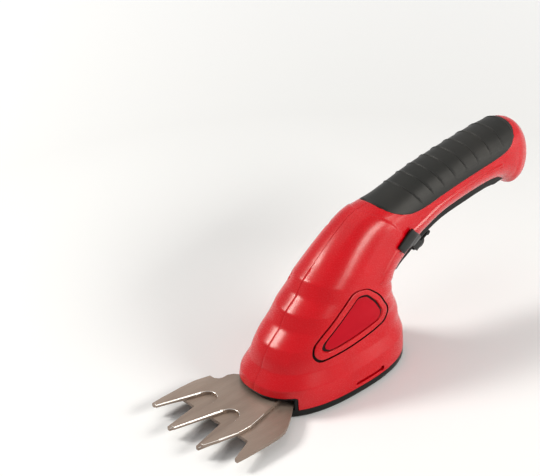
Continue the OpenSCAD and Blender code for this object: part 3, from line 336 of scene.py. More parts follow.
def under(s, drop):
    """A point of the underside in x and z, in mm, let down by drop along the section."""
    front_x, front_z, rear_x, rear_z = smooth_row(s)[:4]
    down = Vector((rear_x - front_x, rear_z - front_z)).normalized()
    return Vector((rear_x, rear_z)) + down*drop


def spread(low, high, count):
    return [low + (high - low)*i/count for i in range(count + 1)]


# Grip bed: the shells sink a little under the soft grip
GRIP_FROM, GRIP_TO, GRIP_REACH, GRIP_POWER = 14.25, 22.95, 84.0, 3.3


def grip_turn(s):
    """How far round from the top the grip's edge lies at a station, in degrees."""
    u = abs(2*(s - GRIP_FROM)/(GRIP_TO - GRIP_FROM) - 1)
    return GRIP_REACH*(1 - min(1.0, u)**GRIP_POWER)**(1/GRIP_POWER)


SHELL_WALL, GRIP_BED = 2.2, 1.0
FLANK_SINK, COLLAR_STATION = 0.55, 13.2
SEAM_DEEP, SEAM_TURN, SEAM_SQUEEZE, SEAM_GAP = 0.15, 0.35, 0.999, 0.03
# Side bead: a raised rail along the flank, with a fine groove under it
BEAD_STATIONS = (9.3, 21.25)
BEAD_TURNS = (100.5, 98.5)
BEAD_RISE, BEAD_TOP, BEAD_FALL, BEAD_PROUD, BEAD_GROOVE = -3.6, (-0.9, 1.4), 2.4, 0.95, 0.5


def shell_point(s, a):
    """The red shell's outer skin: the body with the grip's bed, the sunk flank and the side bead."""
    collar = COLLAR_STATION + 0.5*min(1.0, abs(a)/60.0)
    sink = FLANK_SINK*step(s, collar, collar + 0.22)*(1 - step(s, 23.0, 23.8))
    sink += SEAM_DEEP*max(0.0, 1 - min(abs(a), 180.0 - abs(a))/SEAM_TURN)
    inside = grip_turn(s) - abs(a) if GRIP_FROM < s < GRIP_TO else -1.0
    sink += GRIP_BED*step(inside, 2.0, 5.0)
    u = (s - BEAD_STATIONS[0])/(BEAD_STATIONS[1] - BEAD_STATIONS[0])
    middle = BEAD_TURNS[0] + (BEAD_TURNS[1] - BEAD_TURNS[0])*u
    off = abs(a) - middle
    if 0.0 < u < 1.0 and abs(off) < 8.0:
        ends = step(u, 0.0, 0.06)*(1 - step(u, 0.98, 1.0))
        rise = max(0.0, min(1.0, (off - BEAD_RISE)/(BEAD_TOP[0] - BEAD_RISE)))
        sink -= BEAD_PROUD*rise*(1 - step(off, BEAD_TOP[1], BEAD_FALL))*ends
        sink += BEAD_GROOVE*math.exp(-(off - BEAD_FALL - 1.0)**2)*ends
    return skin(s, a, sink)


END_FROM, END_WALL = 23.0, 5.0


def inner_point(s, a):
    """The shell's inner skin, deeper under the grip, with a thicker wall at the handle's end."""
    depth = SHELL_WALL + FLANK_SINK + 1.2*step(s, 12.6, 13.8)*(1 - step(s, 23.2, 23.9))
    point = skin(s, a, depth)
    point.x -= END_WALL*MM*max(0.0, (s - END_FROM)/(LAST - END_FROM))
    return point


def shell_place(s, column):
    """The wall's section, out and back, at each station; rows past the last one draw in to close the end."""
    side, a = column
    layer = inner_point if side else shell_point
    if s <= LAST:
        return layer(s, a)
    rim = layer(LAST, a)
    middle = (layer(LAST, 0.0) + layer(LAST, 180.0))/2
    return rim + (middle - rim)*(s - LAST)


shell_rows = spread(0.0, 1.6, 8) + spread(1.65, 3.6, 40) + spread(3.65, 11.0, 147)
shell_rows += spread(11.1, 13.0, 19) + spread(13.05, 14.2, 23) + spread(14.3, LAST, 118)
shell_rows += [LAST + e for e in (0.10, 0.25, 0.5, 0.75, 1.0)]
outer_turns = [0.0, -SEAM_TURN] + spread(-2.0, -92.0, 45) + spread(-92.6, -107.0, 24)
outer_turns += spread(-108.0, -178.0, 35) + [-180.0 + SEAM_TURN, -180.0]
shell_columns = [(0, a) for a in outer_turns] + [(1, a) for a in spread(-180.0, 0.0, 45)] + [(0, 0.0)]
LEVER_FROM, LEVER_TO, LEVER_STEPS, LEVER_WIDTH, LEVER_SINK = 10.6, 21.6, 28, 14.0, 5.0
SLOT_PLAY = 0.6
slot_stations = spread(LEVER_FROM, LEVER_TO + 1.0, LEVER_STEPS)
slot_outline = [tuple(under(s, 4.0)) for s in slot_stations]
slot_outline += [tuple(under(s, -9.0*step(s, LEVER_FROM - 0.6, LEVER_FROM + 1.6)
                             + 5.0*step(s, LEVER_TO, LEVER_TO + 1.0))) for s in reversed(slot_stations)]
MOUTH_HALF, MOUTH_TOP = 23.8, 13.3
VENT_FROM, VENT_TO, VENT_Z, VENT_HIGH, VENT_HOLE = -4.0, 18.0, 8.0, 1.8, 1.6
SOCKET_Z, SOCKET_RADIUS, LIGHT_Z, LIGHT_RADIUS = 86.0, 4.3, 92.6, 1.45


def close_rim(piece):
    """Fills the open edges of a sheet and turns all faces outwards."""
    select_only(piece)
    bpy.ops.object.mode_set(mode='EDIT')
    bpy.ops.mesh.select_all(action='SELECT')
    bpy.ops.mesh.fill_holes(sides=0)
    bpy.ops.object.mode_set(mode='OBJECT')
    clean(piece)


def circle_points(x, z, radius, count=24):
    turns = [2*math.pi*k/count for k in range(count)]
    return [(x + radius*math.cos(t), z + radius*math.sin(t)) for t in turns]


left_shell = wrapped_grid('left_shell', shell_rows, shell_columns, shell_place)
clean(left_shell)
close_rim(left_shell)
for vertex in left_shell.data.vertices:
    vertex.co.y = SEAM_SQUEEZE*vertex.co.y - SEAM_GAP*MM
cut(
    left_shell,
    prism('slot_cutter', slot_outline, -LEVER_WIDTH/2 - SLOT_PLAY, 5.0, 'Y'),
    prism('mouth_cutter', round_outline(
        [(-MOUTH_HALF, 0.0), (5.0, 0.0), (5.0, MOUTH_TOP), (-MOUTH_HALF, MOUTH_TOP)], 2.0), -70.0, 0.0, 'X'),
    prism('vent_cutter', round_outline([
        (VENT_FROM, VENT_Z - VENT_HIGH/2), (VENT_TO, VENT_Z - VENT_HIGH/2),
        (VENT_TO, VENT_Z + VENT_HIGH/2), (VENT_FROM, VENT_Z + VENT_HIGH/2)], 0.55), -40.0, -20.0, 'Y'),
    prism('vent_hole_cutter', circle_points(VENT_TO, VENT_Z, VENT_HOLE), -40.0, -20.0, 'Y'),
    prism('socket_cutter', circle_points(0.0, SOCKET_Z, SOCKET_RADIUS), 155.0, 180.0, 'X'),
    prism('light_cutter', circle_points(0.0, LIGHT_Z, LIGHT_RADIUS), 155.0, 180.0, 'X'),
)


def grained_finish(name, dark, light, gloss_range, grain_scale, grain_strength, metal=0.0,
                   stretch=(1.0, 1.0, 1.0), shine=0.5):
    """A finish whose colour drifts from dark to light in clouds, with a fine grain in gloss and surface."""
    material, nodes, links, finish = node_material(name)
    place = nodes.new('ShaderNodeTexCoord')
    turned = nodes.new('ShaderNodeMapping')
    turned.inputs['Scale'].default_value = stretch
    links.new(place.outputs['Object'], turned.inputs['Vector'])
    grain = nodes.new('ShaderNodeTexNoise')
    grain.inputs['Scale'].default_value = grain_scale
    grain.inputs['Detail'].default_value = 3.0
    links.new(turned.outputs['Vector'], grain.inputs['Vector'])
    cloud = nodes.new('ShaderNodeTexNoise')
    cloud.inputs['Scale'].default_value = 45.0
    cloud.inputs['Detail'].default_value = 4.0
    links.new(turned.outputs['Vector'], cloud.inputs['Vector'])
    tone = nodes.new('ShaderNodeValToRGB')
    tone.color_ramp.elements[0].position = 0.3
    tone.color_ramp.elements[0].color = (*dark, 1.0)
    tone.color_ramp.elements[1].position = 0.7
    tone.color_ramp.elements[1].color = (*light, 1.0)
    links.new(cloud.outputs['Fac'], tone.inputs['Fac'])
    links.new(tone.outputs['Color'], finish.inputs['Base Color'])
    gloss = nodes.new('ShaderNodeMapRange')
    gloss.inputs['From Min'].default_value = 0.3
    gloss.inputs['From Max'].default_value = 0.7
    gloss.inputs['To Min'].default_value = gloss_range[0]
    gloss.inputs['To Max'].default_value = gloss_range[1]
    links.new(grain.outputs['Fac'], gloss.inputs['Value'])
    links.new(gloss.outputs['Result'], finish.inputs['Roughness'])
    bump = nodes.new('ShaderNodeBump')
    bump.inputs['Strength'].default_value = grain_strength
    bump.inputs['Distance'].default_value = 0.0001
    links.new(grain.outputs['Fac'], bump.inputs['Height'])
    links.new(bump.outputs['Normal'], finish.inputs['Normal'])
    finish.inputs['Metallic'].default_value = metal
    finish.inputs['Specular IOR Level'].default_value = shine
    return material


red_plastic = grained_finish(
    'red_moulded_plastic', (0.520, 0.0, 0.005), (0.590, 0.0, 0.006), (0.20, 0.31), 2600.0, 0.18, shine=0.36)


# Badges: a rounded triangular plate let into each flank, with a sunk darker field inside its rim.
# They are moulded in red and clipped into a recess of the shells; the recess walls and the groove round the
# field's edge are painted black as shade.
# Corners of the plate and of its field in side view, x and z in millimetres.
BADGE_CORNERS = [
    (-27.2, 38.4), (4.0, 61.2), (14.0, 60.0), (23.2, 52.4), (31.6, 40.0), (27.0, 34.4), (-2.0, 31.4),
    (-25.5, 29.4), (-29.0, 33.0),
]
FIELD_CORNERS = [
    (-21.6, 38.6), (6.6, 57.6), (13.2, 56.6), (21.0, 48.8), (25.6, 40.8), (21.9, 37.6), (-1.3, 35.2),
    (-20.0, 33.4), (-23.4, 35.4),
]
BADGE_MIDDLE = Vector((4.0, 43.5))
BADGE_STEPS = 160


def flank_spot(x, z):
    """The station and turn of the left flank's skin at x and z in mm, found by a few corrections."""
    s, a = 5.8, -90.0
    for _ in range(14):
        here, more_s, more_a = skin(s, a), skin(s + 0.01, a), skin(s, a + 0.1)
        miss_x, miss_z = x*MM - here.x, z*MM - here.z
        sx, sz = (more_s.x - here.x)/0.01, (more_s.z - here.z)/0.01
        ax, az = (more_a.x - here.x)/0.1, (more_a.z - here.z)/0.1
        area = sx*az - sz*ax
        s += max(-0.8, min(0.8, (miss_x*az - miss_z*ax)/area))
        a += max(-12.0, min(12.0, (sx*miss_z - sz*miss_x)/area))
    return s, a


def badge_outline(corners, radius):
    """Evenly turned points of an outline with round corners about the badge's middle."""
    outline = [Vector(p) - BADGE_MIDDLE for p in round_outline(corners, radius, 8)]
    found = []
    for k in range(BADGE_STEPS):
        ray = Vector((math.cos(2*math.pi*k/BADGE_STEPS), math.sin(2*math.pi*k/BADGE_STEPS)))
        best = 0.0
        for p, q in zip(outline, outline[1:] + outline[:1]):
            run = q - p
            cross = ray.x*run.y - ray.y*run.x
            if abs(cross) > 1e-9:
                reach = (p.x*run.y - p.y*run.x)/cross
                along = (p.x*ray.y - p.y*ray.x)/cross
                if reach > 0 and -1e-6 <= along <= 1 + 1e-6:
                    best = max(best, reach)
        found.append(ray*best)
    return found


plate_edge = badge_outline(BADGE_CORNERS, 4.0)
field_edge = badge_outline(FIELD_CORNERS, 2.5)


def badge_spot(k, share):
    """From the middle (0) over the field's edge (1) to the plate's edge (2), and past it to grow."""
    k %= BADGE_STEPS
    if share <= 1.0:
        spot = field_edge[k]*share
    else:
        spot = field_edge[k] + (plate_edge[k] - field_edge[k])*(share - 1.0)
    return BADGE_MIDDLE + spot


BADGE_PROFILE = [
    (0.0, 0.55), (0.3, 0.55), (0.6, 0.55), (0.85, 0.55), (0.92, 0.56), (0.94, 0.95), (0.995, 0.95),
    (1.03, 0.12), (1.10, 0.02), (1.25, 0.0), (1.5, 0.0), (1.7, 0.0), (1.80, 0.05), (1.85, 0.2), (1.87, 0.5),
    (1.87, 1.6),
]


def badge_point(part, k):
    share, depth = part
    s, a = flank_spot(*badge_spot(k, share))
    return skin(s, a, depth)


recess_cutter = wrapped_grid(
    'recess_cutter', [(0.0, -2.0), (1.0, -2.0), (2.08, -2.0), (2.08, 1.3), (1.0, 1.3), (0.0, 1.3)],
    list(range(BADGE_STEPS + 1)), badge_point)
clean(recess_cutter)
# Painted shade: a black finish on the recess walls in the shells and on the groove round the badge's field,
# where shade falls.
badge_gap_painted_shade = grained_finish(
    'black_painted_shade_in_badge_gaps', (0.010, 0.004, 0.004), (0.016, 0.006, 0.006), (0.45, 0.60), 2400.0, 0.15, shine=0.1)
for piece in (left_shell, recess_cutter):
    piece.data.materials.append(red_plastic)
    piece.data.materials.append(badge_gap_painted_shade)
for face in recess_cutter.data.polygons:
    face.material_index = 1
cut(left_shell, recess_cutter)
badge_red = grained_finish(
    'dark_red_field', (0.420, 0.0, 0.009), (0.470, 0.0, 0.011), (0.42, 0.54), 3200.0, 0.12, shine=0.12)
left_badge = wrapped_grid('left_badge_plate', BADGE_PROFILE, list(range(BADGE_STEPS + 1)), badge_point)
left_badge.data.materials.append(red_plastic)
left_badge.data.materials.append(badge_red)
left_badge.data.materials.append(badge_gap_painted_shade)
# The groove round the field gets the painted shade black, the field its darker red and the rim the shell's
# red.
for face in left_badge.data.polygons:
    outer_share = BADGE_PROFILE[face.index % (len(BADGE_PROFILE) - 1) + 1][0]
    face.material_index = 1 if outer_share < 0.94 else 2 if outer_share < 1.01 else 0
clean(left_badge)
smooth_shade(left_badge, 40.0)


def mirrored(piece, name):
    """A copy of a piece on the other side of the middle plane, with a mesh of its own."""
    other = piece.copy()
    other.data = piece.data.copy()
    other.name = name
    scene.collection.objects.link(other)
    for vertex in other.data.vertices:
        vertex.co.y = -vertex.co.y
    other.data.flip_normals()
    return other


right_badge = mirrored(left_badge, 'right_badge_plate')
right_shell = mirrored(left_shell, 'right_shell')
# Screw wells of the right half: station, and share from the section's middle to its top
SCREW_PLACES = [
    (2.5, -0.86), (3.3, 0.66), (8.6, 0.8), (11.5, -0.55), (12.0, 0.75), (14.2, 0.42), (23.5, 0.45),
]
SEAT_SHARE, WELL_RADIUS, WELL_WALL, SHANK_RADIUS = 0.45, 3.0, 1.2, 1.6


def well_part(name, spot, radius, low, high):
    """A round prism across the body; without a high end it stops inside the shell's wall."""
    part = prism(name, circle_points(spot[0], spot[1], radius), low, high or low + 1.0, 'Y')
    if high is None:
        for vertex in part.data.vertices:
            if vertex.co.y > (low + 0.5)*MM:
                vertex.co.y = -skin(*flank_spot(vertex.co.x/MM, vertex.co.z/MM)).y - 1.4*MM
    return part


def joined(parts):
    """One piece of several that stand apart."""
    select_only(parts[0])
    for part in parts[1:]:
        part.select_set(True)
    bpy.ops.object.join()
    return parts[0]


bosses, wells, shanks = [], [], []
for station, share in SCREW_PLACES:
    front_x, front_z, rear_x, rear_z, half, square = smooth_row(station)
    spot = (
        (front_x + rear_x)/2 + (front_x - rear_x)/2*share,
        (front_z + rear_z)/2 + (front_z - rear_z)/2*share,
    )
    seat = half*(1 - abs(share)**square)**(1/square)*SEAT_SHARE
    bosses.append(well_part('screw_boss', spot, WELL_RADIUS + WELL_WALL, seat - 1.5, None))
    wells.append(well_part('well_cutter', spot, WELL_RADIUS, seat, 45.0))
    shanks.append(well_part('shank_cutter', spot, SHANK_RADIUS, -1.0, seat + 1.0))
boss = joined(bosses)
apply_modifier(right_shell, 'BOOLEAN', operation='UNION', object=boss, solver='EXACT')
bpy.data.objects.remove(boss, do_unlink=True)
cut(right_shell, joined(wells), joined(shanks))
for shell, node in ((left_shell, 'left_housing'), (right_shell, 'right_housing')):
    smooth_shade(shell, 30.0)
    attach(shell, 'body')
    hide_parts(node)
for badge, node in ((left_badge, 'left_badge'), (right_badge, 'right_badge')):
    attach(badge, 'body')
    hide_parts(node)

# Soft grip: a matt black overmoulding on top of the handle, with nine fine ribs across it.
# It lies in the bed of the shells and its edge rolls down into them.
GRIP_THICK = 1.1
RIB_XS = (59.0, 70.0, 80.0, 91.0, 102.0, 113.0, 125.0, 137.0, 149.0)
RIB_HIGH, RIB_HALF, RIB_FADE = 0.45, 0.40, (48.0, 76.0)
EDGE_ROLL, GRIP_STEPS = 0.45, 120


def station_of_top(x):
    """The station whose top point lies at x, in mm."""
    low, high = 11.0, 24.0
    for _ in range(40):
        middle = (low + high)/2
        if smooth_row(middle)[0] < x:
            low = middle
        else:
            high = middle
    return low


grip_rows = set()
for i in range(GRIP_STEPS + 1):
    grip_rows.add(round(GRIP_FROM + (GRIP_TO - GRIP_FROM)*(1 - math.cos(math.pi*i/GRIP_STEPS))/2, 4))
for x in RIB_XS:
    for off in (-1.6, -1.0, -0.6, -0.3, 0.0, 0.3, 0.6, 1.0, 1.6):
        grip_rows.add(round(station_of_top(x + off*RIB_HALF), 4))
grip_rows = sorted(grip_rows)
rib_stations = [station_of_top(x) for x in RIB_XS]
rib_halves = [(station_of_top(x + RIB_HALF) - station_of_top(x - RIB_HALF))/2 for x in RIB_XS]


def grip_point(s, share):
    """The grip's outer skin, sunk a little between its ribs and rolled down at its edge."""
    edge = grip_turn(s)
    a = edge*share
    rib = max(math.exp(-((s - r)/h)**2) for r, h in zip(rib_stations, rib_halves))
    sink = RIB_HIGH*(1 - rib)*(1 - step(abs(a), *RIB_FADE))
    u = abs(2*(s - GRIP_FROM)/(GRIP_TO - GRIP_FROM) - 1)
    sink += EDGE_ROLL*max(step(abs(share), 0.955, 1.0), step(u, 0.985, 1.0))
    return skin(s, a, sink)


grip_shares = [math.sin(math.pi/2*t) for t in spread(-1.0, 1.0, 90)]
grip = wrapped_grid('soft_grip_cover', grip_rows, grip_shares, grip_point)
clean(grip)
apply_modifier(grip, 'SOLIDIFY', thickness=GRIP_THICK*MM, offset=-1.0)
smooth_shade(grip, 40.0)
soft_rubber = grained_finish(
    'soft_black_rubber', (0.009, 0.0095, 0.0085), (0.016, 0.0155, 0.014), (0.42, 0.56), 3000.0, 0.25,
    shine=0.28)
grip.data.materials.append(soft_rubber)
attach(grip, 'body')
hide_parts('grip_cover')

# Sole: a black moulded plate under the body, with a rounded lower edge and a lip round the blades' mouth.
# It is screwed up into the shells from below; the blade cassette slides into its drawer from the front.
SOLE_LONG, SOLE_WIDE, SOLE_SQUARE = 54.5, 31.8, 2.5
# Each row of the profile: share from the middle, inset from the edge and height
SOLE_PROFILE = [
    (0.0, 0.0, 0.0), (0.5, 0.0, 0.0), (0.9, 0.0, 0.0), (1.0, 2.4, 0.0), (1.0, 1.5, 0.12), (1.0, 0.8, 0.42),
    (1.0, 0.3, 0.95), (1.0, 0.05, 1.6), (1.0, 0.0, 2.3), (1.0, 0.0, 4.55), (1.0, 0.08, 4.85),
    (1.0, 0.35, 5.0), (0.9, 0.0, 5.0), (0.5, 0.0, 5.0), (0.0, 0.0, 5.0),
]


def oval(turn, inset):
    """A point of the sole's oval in mm."""
    c, d = math.cos(math.radians(turn)), math.sin(math.radians(turn))
    x = signed_power(c, 2/SOLE_SQUARE)*(SOLE_LONG - inset)
    return x, signed_power(d, 2/SOLE_SQUARE)*(SOLE_WIDE - inset)


def sole_point(part, turn):
    share, inset, z = part
    x, y = oval(turn, inset)
    return Vector((x*share, y*share, z))*MM


LIP_TOP, LIP_THICK, LIP_HALF = 13.0, 2.2, 23.5
lip_turn = math.degrees(math.asin((LIP_HALF/SOLE_WIDE)**(SOLE_SQUARE/2)))
LIP_PROFILE = [
    (0.15, 4.0), (0.15, LIP_TOP - 0.3), (0.45, LIP_TOP), (LIP_THICK - 0.3, LIP_TOP),
    (LIP_THICK, LIP_TOP - 0.3), (LIP_THICK, 4.0),
]


def lip_point(part, turn):
    x, y = oval(turn, part[0])
    return Vector((x, y, part[1]))*MM


def box_cutter(name, low, high):
    corners = [(low[0], low[1]), (high[0], low[1]), (high[0], high[1]), (low[0], high[1])]
    return prism(name, corners, low[2], high[2], 'Z')


sole = wrapped_grid('sole_moulding', SOLE_PROFILE, spread(0.0, 360.0, 144), sole_point)
clean(sole)
lip = wrapped_grid('mouth_lip', LIP_PROFILE, spread(180.0 - lip_turn, 180.0 + lip_turn, 48), lip_point)
clean(lip)
close_rim(lip)
apply_modifier(sole, 'BOOLEAN', operation='UNION', object=lip, solver='EXACT')
bpy.data.objects.remove(lip, do_unlink=True)
DRAWER_NECK, DRAWER_END = -19.4, 13.5
SOLE_SCREWS = [(-20.25, 25.44), (29.93, 23.21)]
well_cutters = []
for x, y in SOLE_SCREWS:
    for side in (-1, 1):
        well_cutters.append(prism('well_cutter', circle_points(x, side*y, 3.0), -1.0, 2.5, 'Z'))
        well_cutters.append(prism('shank_cutter', circle_points(x, side*y, 1.75), 2.0, 6.0, 'Z'))
cut(
    sole,
    box_cutter('mouth_cutter', (-70.0, -22.4, 5.03), (DRAWER_NECK, 22.4, 12.1)),
    box_cutter('drawer_cutter', (-70.0, -21.0, 1.6), (DRAWER_NECK, 21.0, 7.0)),
    box_cutter('drawer_tail_cutter', (DRAWER_NECK - 1.0, -12.0, 1.6), (DRAWER_END, 12.0, 7.0)),
    box_cutter('tunnel_cutter', (DRAWER_END - 1.0, -8.5, 1.6), (DRAWER_END + 30.0, 8.5, 4.9)),
    box_cutter('latch_cutter', (16.5, -5.3, -1.0), (28.8, 5.3, 2.6)),
    *well_cutters,
)
apply_modifier(sole, 'BEVEL', width=0.25*MM, segments=2, limit_method='ANGLE', angle_limit=math.radians(60.0))
smooth_shade(sole, 35.0)
black_plastic = grained_finish(
    'black_moulded_plastic', (0.0065, 0.0075, 0.007), (0.0115, 0.0125, 0.012), (0.32, 0.48), 2400.0, 0.18,
    shine=0.15)
sole.data.materials.append(black_plastic)
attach(sole, 'body')
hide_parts('sole_plate')

# Lower blade: a stamped and hardened steel plate with four teeth, riveted to the cassette's holder.
# Its tooth flanks are ground to an edge; the bevels are coloured brighter than the warm grey of the rolled
# faces, partly for the ground steel and partly as a painted highlight.
PIVOT_X, BLADE_REACH, CUT_WIDE, BLADE_THICK = -24.0, 82.4, 70.0, 2.0
LOWER_Z, UPPER_Z = 6.0, 8.1
LOWER_TEETH = [
    (0.72, 0.0), (0.72, 0.075), (1.0, 0.159), (1.0, 0.187), (0.72, 0.245), (0.72, 0.395), (0.907, 0.486),
    (0.907, 0.514), (0.811, 0.520), (0.636, 0.522), (0.524, 0.515), (0.470, 0.498),
]
LOWER_PLAIN = [(0.420, 0.466), (0.360, 0.418), (0.300, 0.362)]
LOWER_NOTCH = [(0.410, 0.480), (0.408, 0.430), (0.381, 0.386), (0.347, 0.384), (0.317, 0.385), (0.277, 0.360)]
LOWER_REAR = [
    (0.240, 0.302), (0.165, 0.290), (0.060, 0.270), (-0.040, 0.180), (-0.150, 0.160), (-0.225, 0.150),
]


def blade_spot(q):
    return (PIVOT_X - q[0]*BLADE_REACH, q[1]*CUT_WIDE)


def grind(piece, top, lengths, reach_x, width):
    """Bevels upper edges of the teeth that are so long and gives the bevels the bright ground finish, which
    is partly a painted highlight.
    """
    select_only(piece)
    bpy.ops.object.mode_set(mode='EDIT')
    bpy.ops.mesh.select_all(action='DESELECT')
    bpy.ops.object.mode_set(mode='OBJECT')
    mesh = piece.data
    for edge in mesh.edges:
        a, b = (mesh.vertices[k].co for k in edge.vertices)
        on_top = min(a.z, b.z) > top*MM - 1e-5
        edge.select = on_top and lengths[0]*MM < (a - b).length < lengths[1]*MM and max(a.x, b.x) < reach_x*MM
    bpy.ops.object.mode_set(mode='EDIT')
    bpy.ops.mesh.select_mode(type='EDGE')
    bpy.ops.mesh.bevel(offset=width*MM, segments=1, affect='EDGES', material=1)
    bpy.ops.object.mode_set(mode='OBJECT')


blade_steel = grained_finish(
    'warm_grey_blade_steel', (0.245, 0.185, 0.150), (0.355, 0.285, 0.240), (0.34, 0.58), 800.0, 0.45, 0.6,
    (0.3, 1.6, 1.0))
# Partly painted highlight: the bevels' steel is coloured much lighter than the faces, for the lit edges as
# well as the ground finish.
ground_steel_and_highlight = grained_finish(
    'ground_edge_with_painted_highlight', (0.66, 0.64, 0.61), (0.80, 0.78, 0.76), (0.26, 0.40), 1400.0, 0.25, 1.0,
    (1.6, 0.3, 1.0))
lower_right = [blade_spot(q) for q in LOWER_TEETH + LOWER_NOTCH + LOWER_REAR]
lower_left = [blade_spot((q[0], -q[1])) for q in reversed((LOWER_TEETH + LOWER_PLAIN + LOWER_REAR)[1:])]
lower_blade = prism('lower_blade_plate', round_outline(lower_right + lower_left, 0.4, 3), LOWER_Z,
                    LOWER_Z + BLADE_THICK, 'Z')
lower_blade.data.materials.append(blade_steel)
lower_blade.data.materials.append(ground_steel_and_highlight)
cut(lower_blade, prism('pivot_cutter', circle_points(PIVOT_X, 0.0, 4.0, 48), 5.0, 9.0, 'Z'),
    prism('rivet_cutter', circle_points(-12.0, 8.4, 2.0), 5.0, 9.0, 'Z'),
    prism('rivet_cutter', circle_points(-12.0, -8.4, 2.0), 5.0, 9.0, 'Z'))
grind(lower_blade, LOWER_Z + BLADE_THICK, (12.0, 99.0), -78.0, 0.4)
smooth_shade(lower_blade, 20.0)
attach(lower_blade, 'body')
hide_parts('lower_blade')

# Upper blade: the swinging plate, three teeth with round gullets and a slotted tail for the crank pin.
# It turns on the pivot between the lower blade and a washer, and rests near one end of its stroke.
REST_TURN = math.radians(-6.303)
UPPER_HALF = [(0.958, 0.318), (0.952, 0.345), (0.840, 0.367), (0.686, 0.383), (0.585, 0.373), (0.443, 0.313),
              (0.280, 0.243), (0.100, 0.160)]
GULLET_SHARE, GULLET_MIDDLE, GULLET_RADIUS = 0.631, 0.1535, 5.635
TAIL_LONG, TAIL_HALF, TAIL_END, CRANK_THROW, TAIL_SLOT = 26.0, 5.5, 8.2, 3.8, 2.15
gullet_x, gullet_y = -GULLET_SHARE*BLADE_REACH, GULLET_MIDDLE*CUT_WIDE
half_line = [(-BLADE_REACH, 0.014*CUT_WIDE)]
half_line += [(gullet_x + GULLET_RADIUS*math.sin(t), gullet_y - GULLET_RADIUS*math.cos(t))
              for t in spread(0.0, math.pi, 16)]
half_line += [(-q[0]*BLADE_REACH, q[1]*CUT_WIDE) for q in UPPER_HALF]
half_line += [(-2.0, 10.3), (6.0, 8.6), (10.0, TAIL_HALF), (18.6, TAIL_HALF)]
half_line += [(TAIL_LONG + TAIL_END*math.cos(t), TAIL_END*math.sin(t)) for t in spread(2.3, 0.0, 8)]
upper_line = half_line + [(x, -y) for x, y in reversed(half_line[:-1])]
upper_blade = prism(
    'upper_blade_plate', round_outline(upper_line, 0.3, 2), UPPER_Z, UPPER_Z + BLADE_THICK, 'Z')
upper_blade.data.materials.append(blade_steel)
upper_blade.data.materials.append(ground_steel_and_highlight)
slot_line = [(TAIL_LONG + CRANK_THROW + TAIL_SLOT*math.cos(t), TAIL_SLOT*math.sin(t))
             for t in spread(-1.57, 1.57, 10)]
slot_line += [(TAIL_LONG - CRANK_THROW - TAIL_SLOT*math.cos(t), TAIL_SLOT*math.sin(t))
              for t in spread(1.57, -1.57, 10)]
cut(upper_blade, prism('pivot_cutter', circle_points(0.0, 0.0, 4.05, 48), 7.0, 11.0, 'Z'),
    prism('tail_cutter', slot_line, 7.0, 11.0, 'Z'))
# Bright bevels along the tooth edges and the gullets: ground steel, partly a painted highlight.
grind(upper_blade, UPPER_Z + BLADE_THICK, (12.0, 99.0), -45.0, 0.6)
grind(upper_blade, UPPER_Z + BLADE_THICK, (0.05, 12.0), -8.0, 0.16)
cosine, sine = math.cos(REST_TURN), math.sin(REST_TURN)
for vertex in upper_blade.data.vertices:
    x, y = vertex.co.x, vertex.co.y
    vertex.co.x = x*cosine - y*sine + PIVOT_X*MM
    vertex.co.y = x*sine + y*cosine
smooth_shade(upper_blade, 20.0)
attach(upper_blade, 'blade')
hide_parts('upper_blade')

# Trigger lever: a long black moulded bar along the underside of the handle, hinged on a pin at its rear end.
# Its lower side is rounded for the fingers, and a pad on top presses the switch.
LEVER_PROUD, LEVER_RISE, LEVER_FLAT, NOSE_FROM, NOSE_PROUD = 4.5, 0.25, 19.0, 12.6, 0.8
TAIL_RADIUS, TAIL_UP, PIVOT_RADIUS, PIVOT_UP = 3.6, 3.8, 3.8, 5.5


def lever_proud(s):
    rise = 1 - math.exp(-(s - LEVER_FROM + 0.2)/LEVER_RISE)
    return rise*(LEVER_PROUD*(1 - 0.1*max(0.0, s - LEVER_FLAT)) + NOSE_PROUD*max(0.0, NOSE_FROM - s))


lever_stations = spread(LEVER_FROM, LEVER_TO, LEVER_STEPS)
tail_down = (under(LEVER_TO, 1.0) - under(LEVER_TO, 0.0)).normalized()
lever_tail = under(LEVER_TO + 0.8, 0.0) - tail_down*TAIL_UP
lever_pivot = under(LEVER_TO + 0.4, 0.0) - tail_down*PIVOT_UP
lever_line = [under(s, lever_proud(s)) for s in lever_stations]
start = math.atan2(tail_down.y, tail_down.x)
for middle, radius, turns in (
        (lever_tail, TAIL_RADIUS, spread(0.0, 2.6, 10)), (lever_pivot, PIVOT_RADIUS, spread(2.2, 3.4, 4))):
    lever_line += [middle + Vector((math.cos(start + t), math.sin(start + t)))*radius for t in turns]
lever_line += [
    under(s, -LEVER_SINK*min(1.0, (k + 0.6)/6)) for k, s in reversed(list(enumerate(lever_stations)))]
lever = prism('trigger_bar', [tuple(p) for p in lever_line], -LEVER_WIDTH/2, LEVER_WIDTH/2, 'Y')
apply_modifier(lever, 'BEVEL', width=2.4*MM, segments=5, limit_method='ANGLE', angle_limit=math.radians(60.0))
smooth_shade(lever, 50.0)
lever_black = grained_finish(
    'satin_black_control', (0.0055, 0.0065, 0.006), (0.0095, 0.0105, 0.010), (0.26, 0.40), 2200.0, 0.12,
    shine=0.2)
lever.data.materials.append(lever_black)
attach(lever, 'trigger')
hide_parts('trigger_lever')

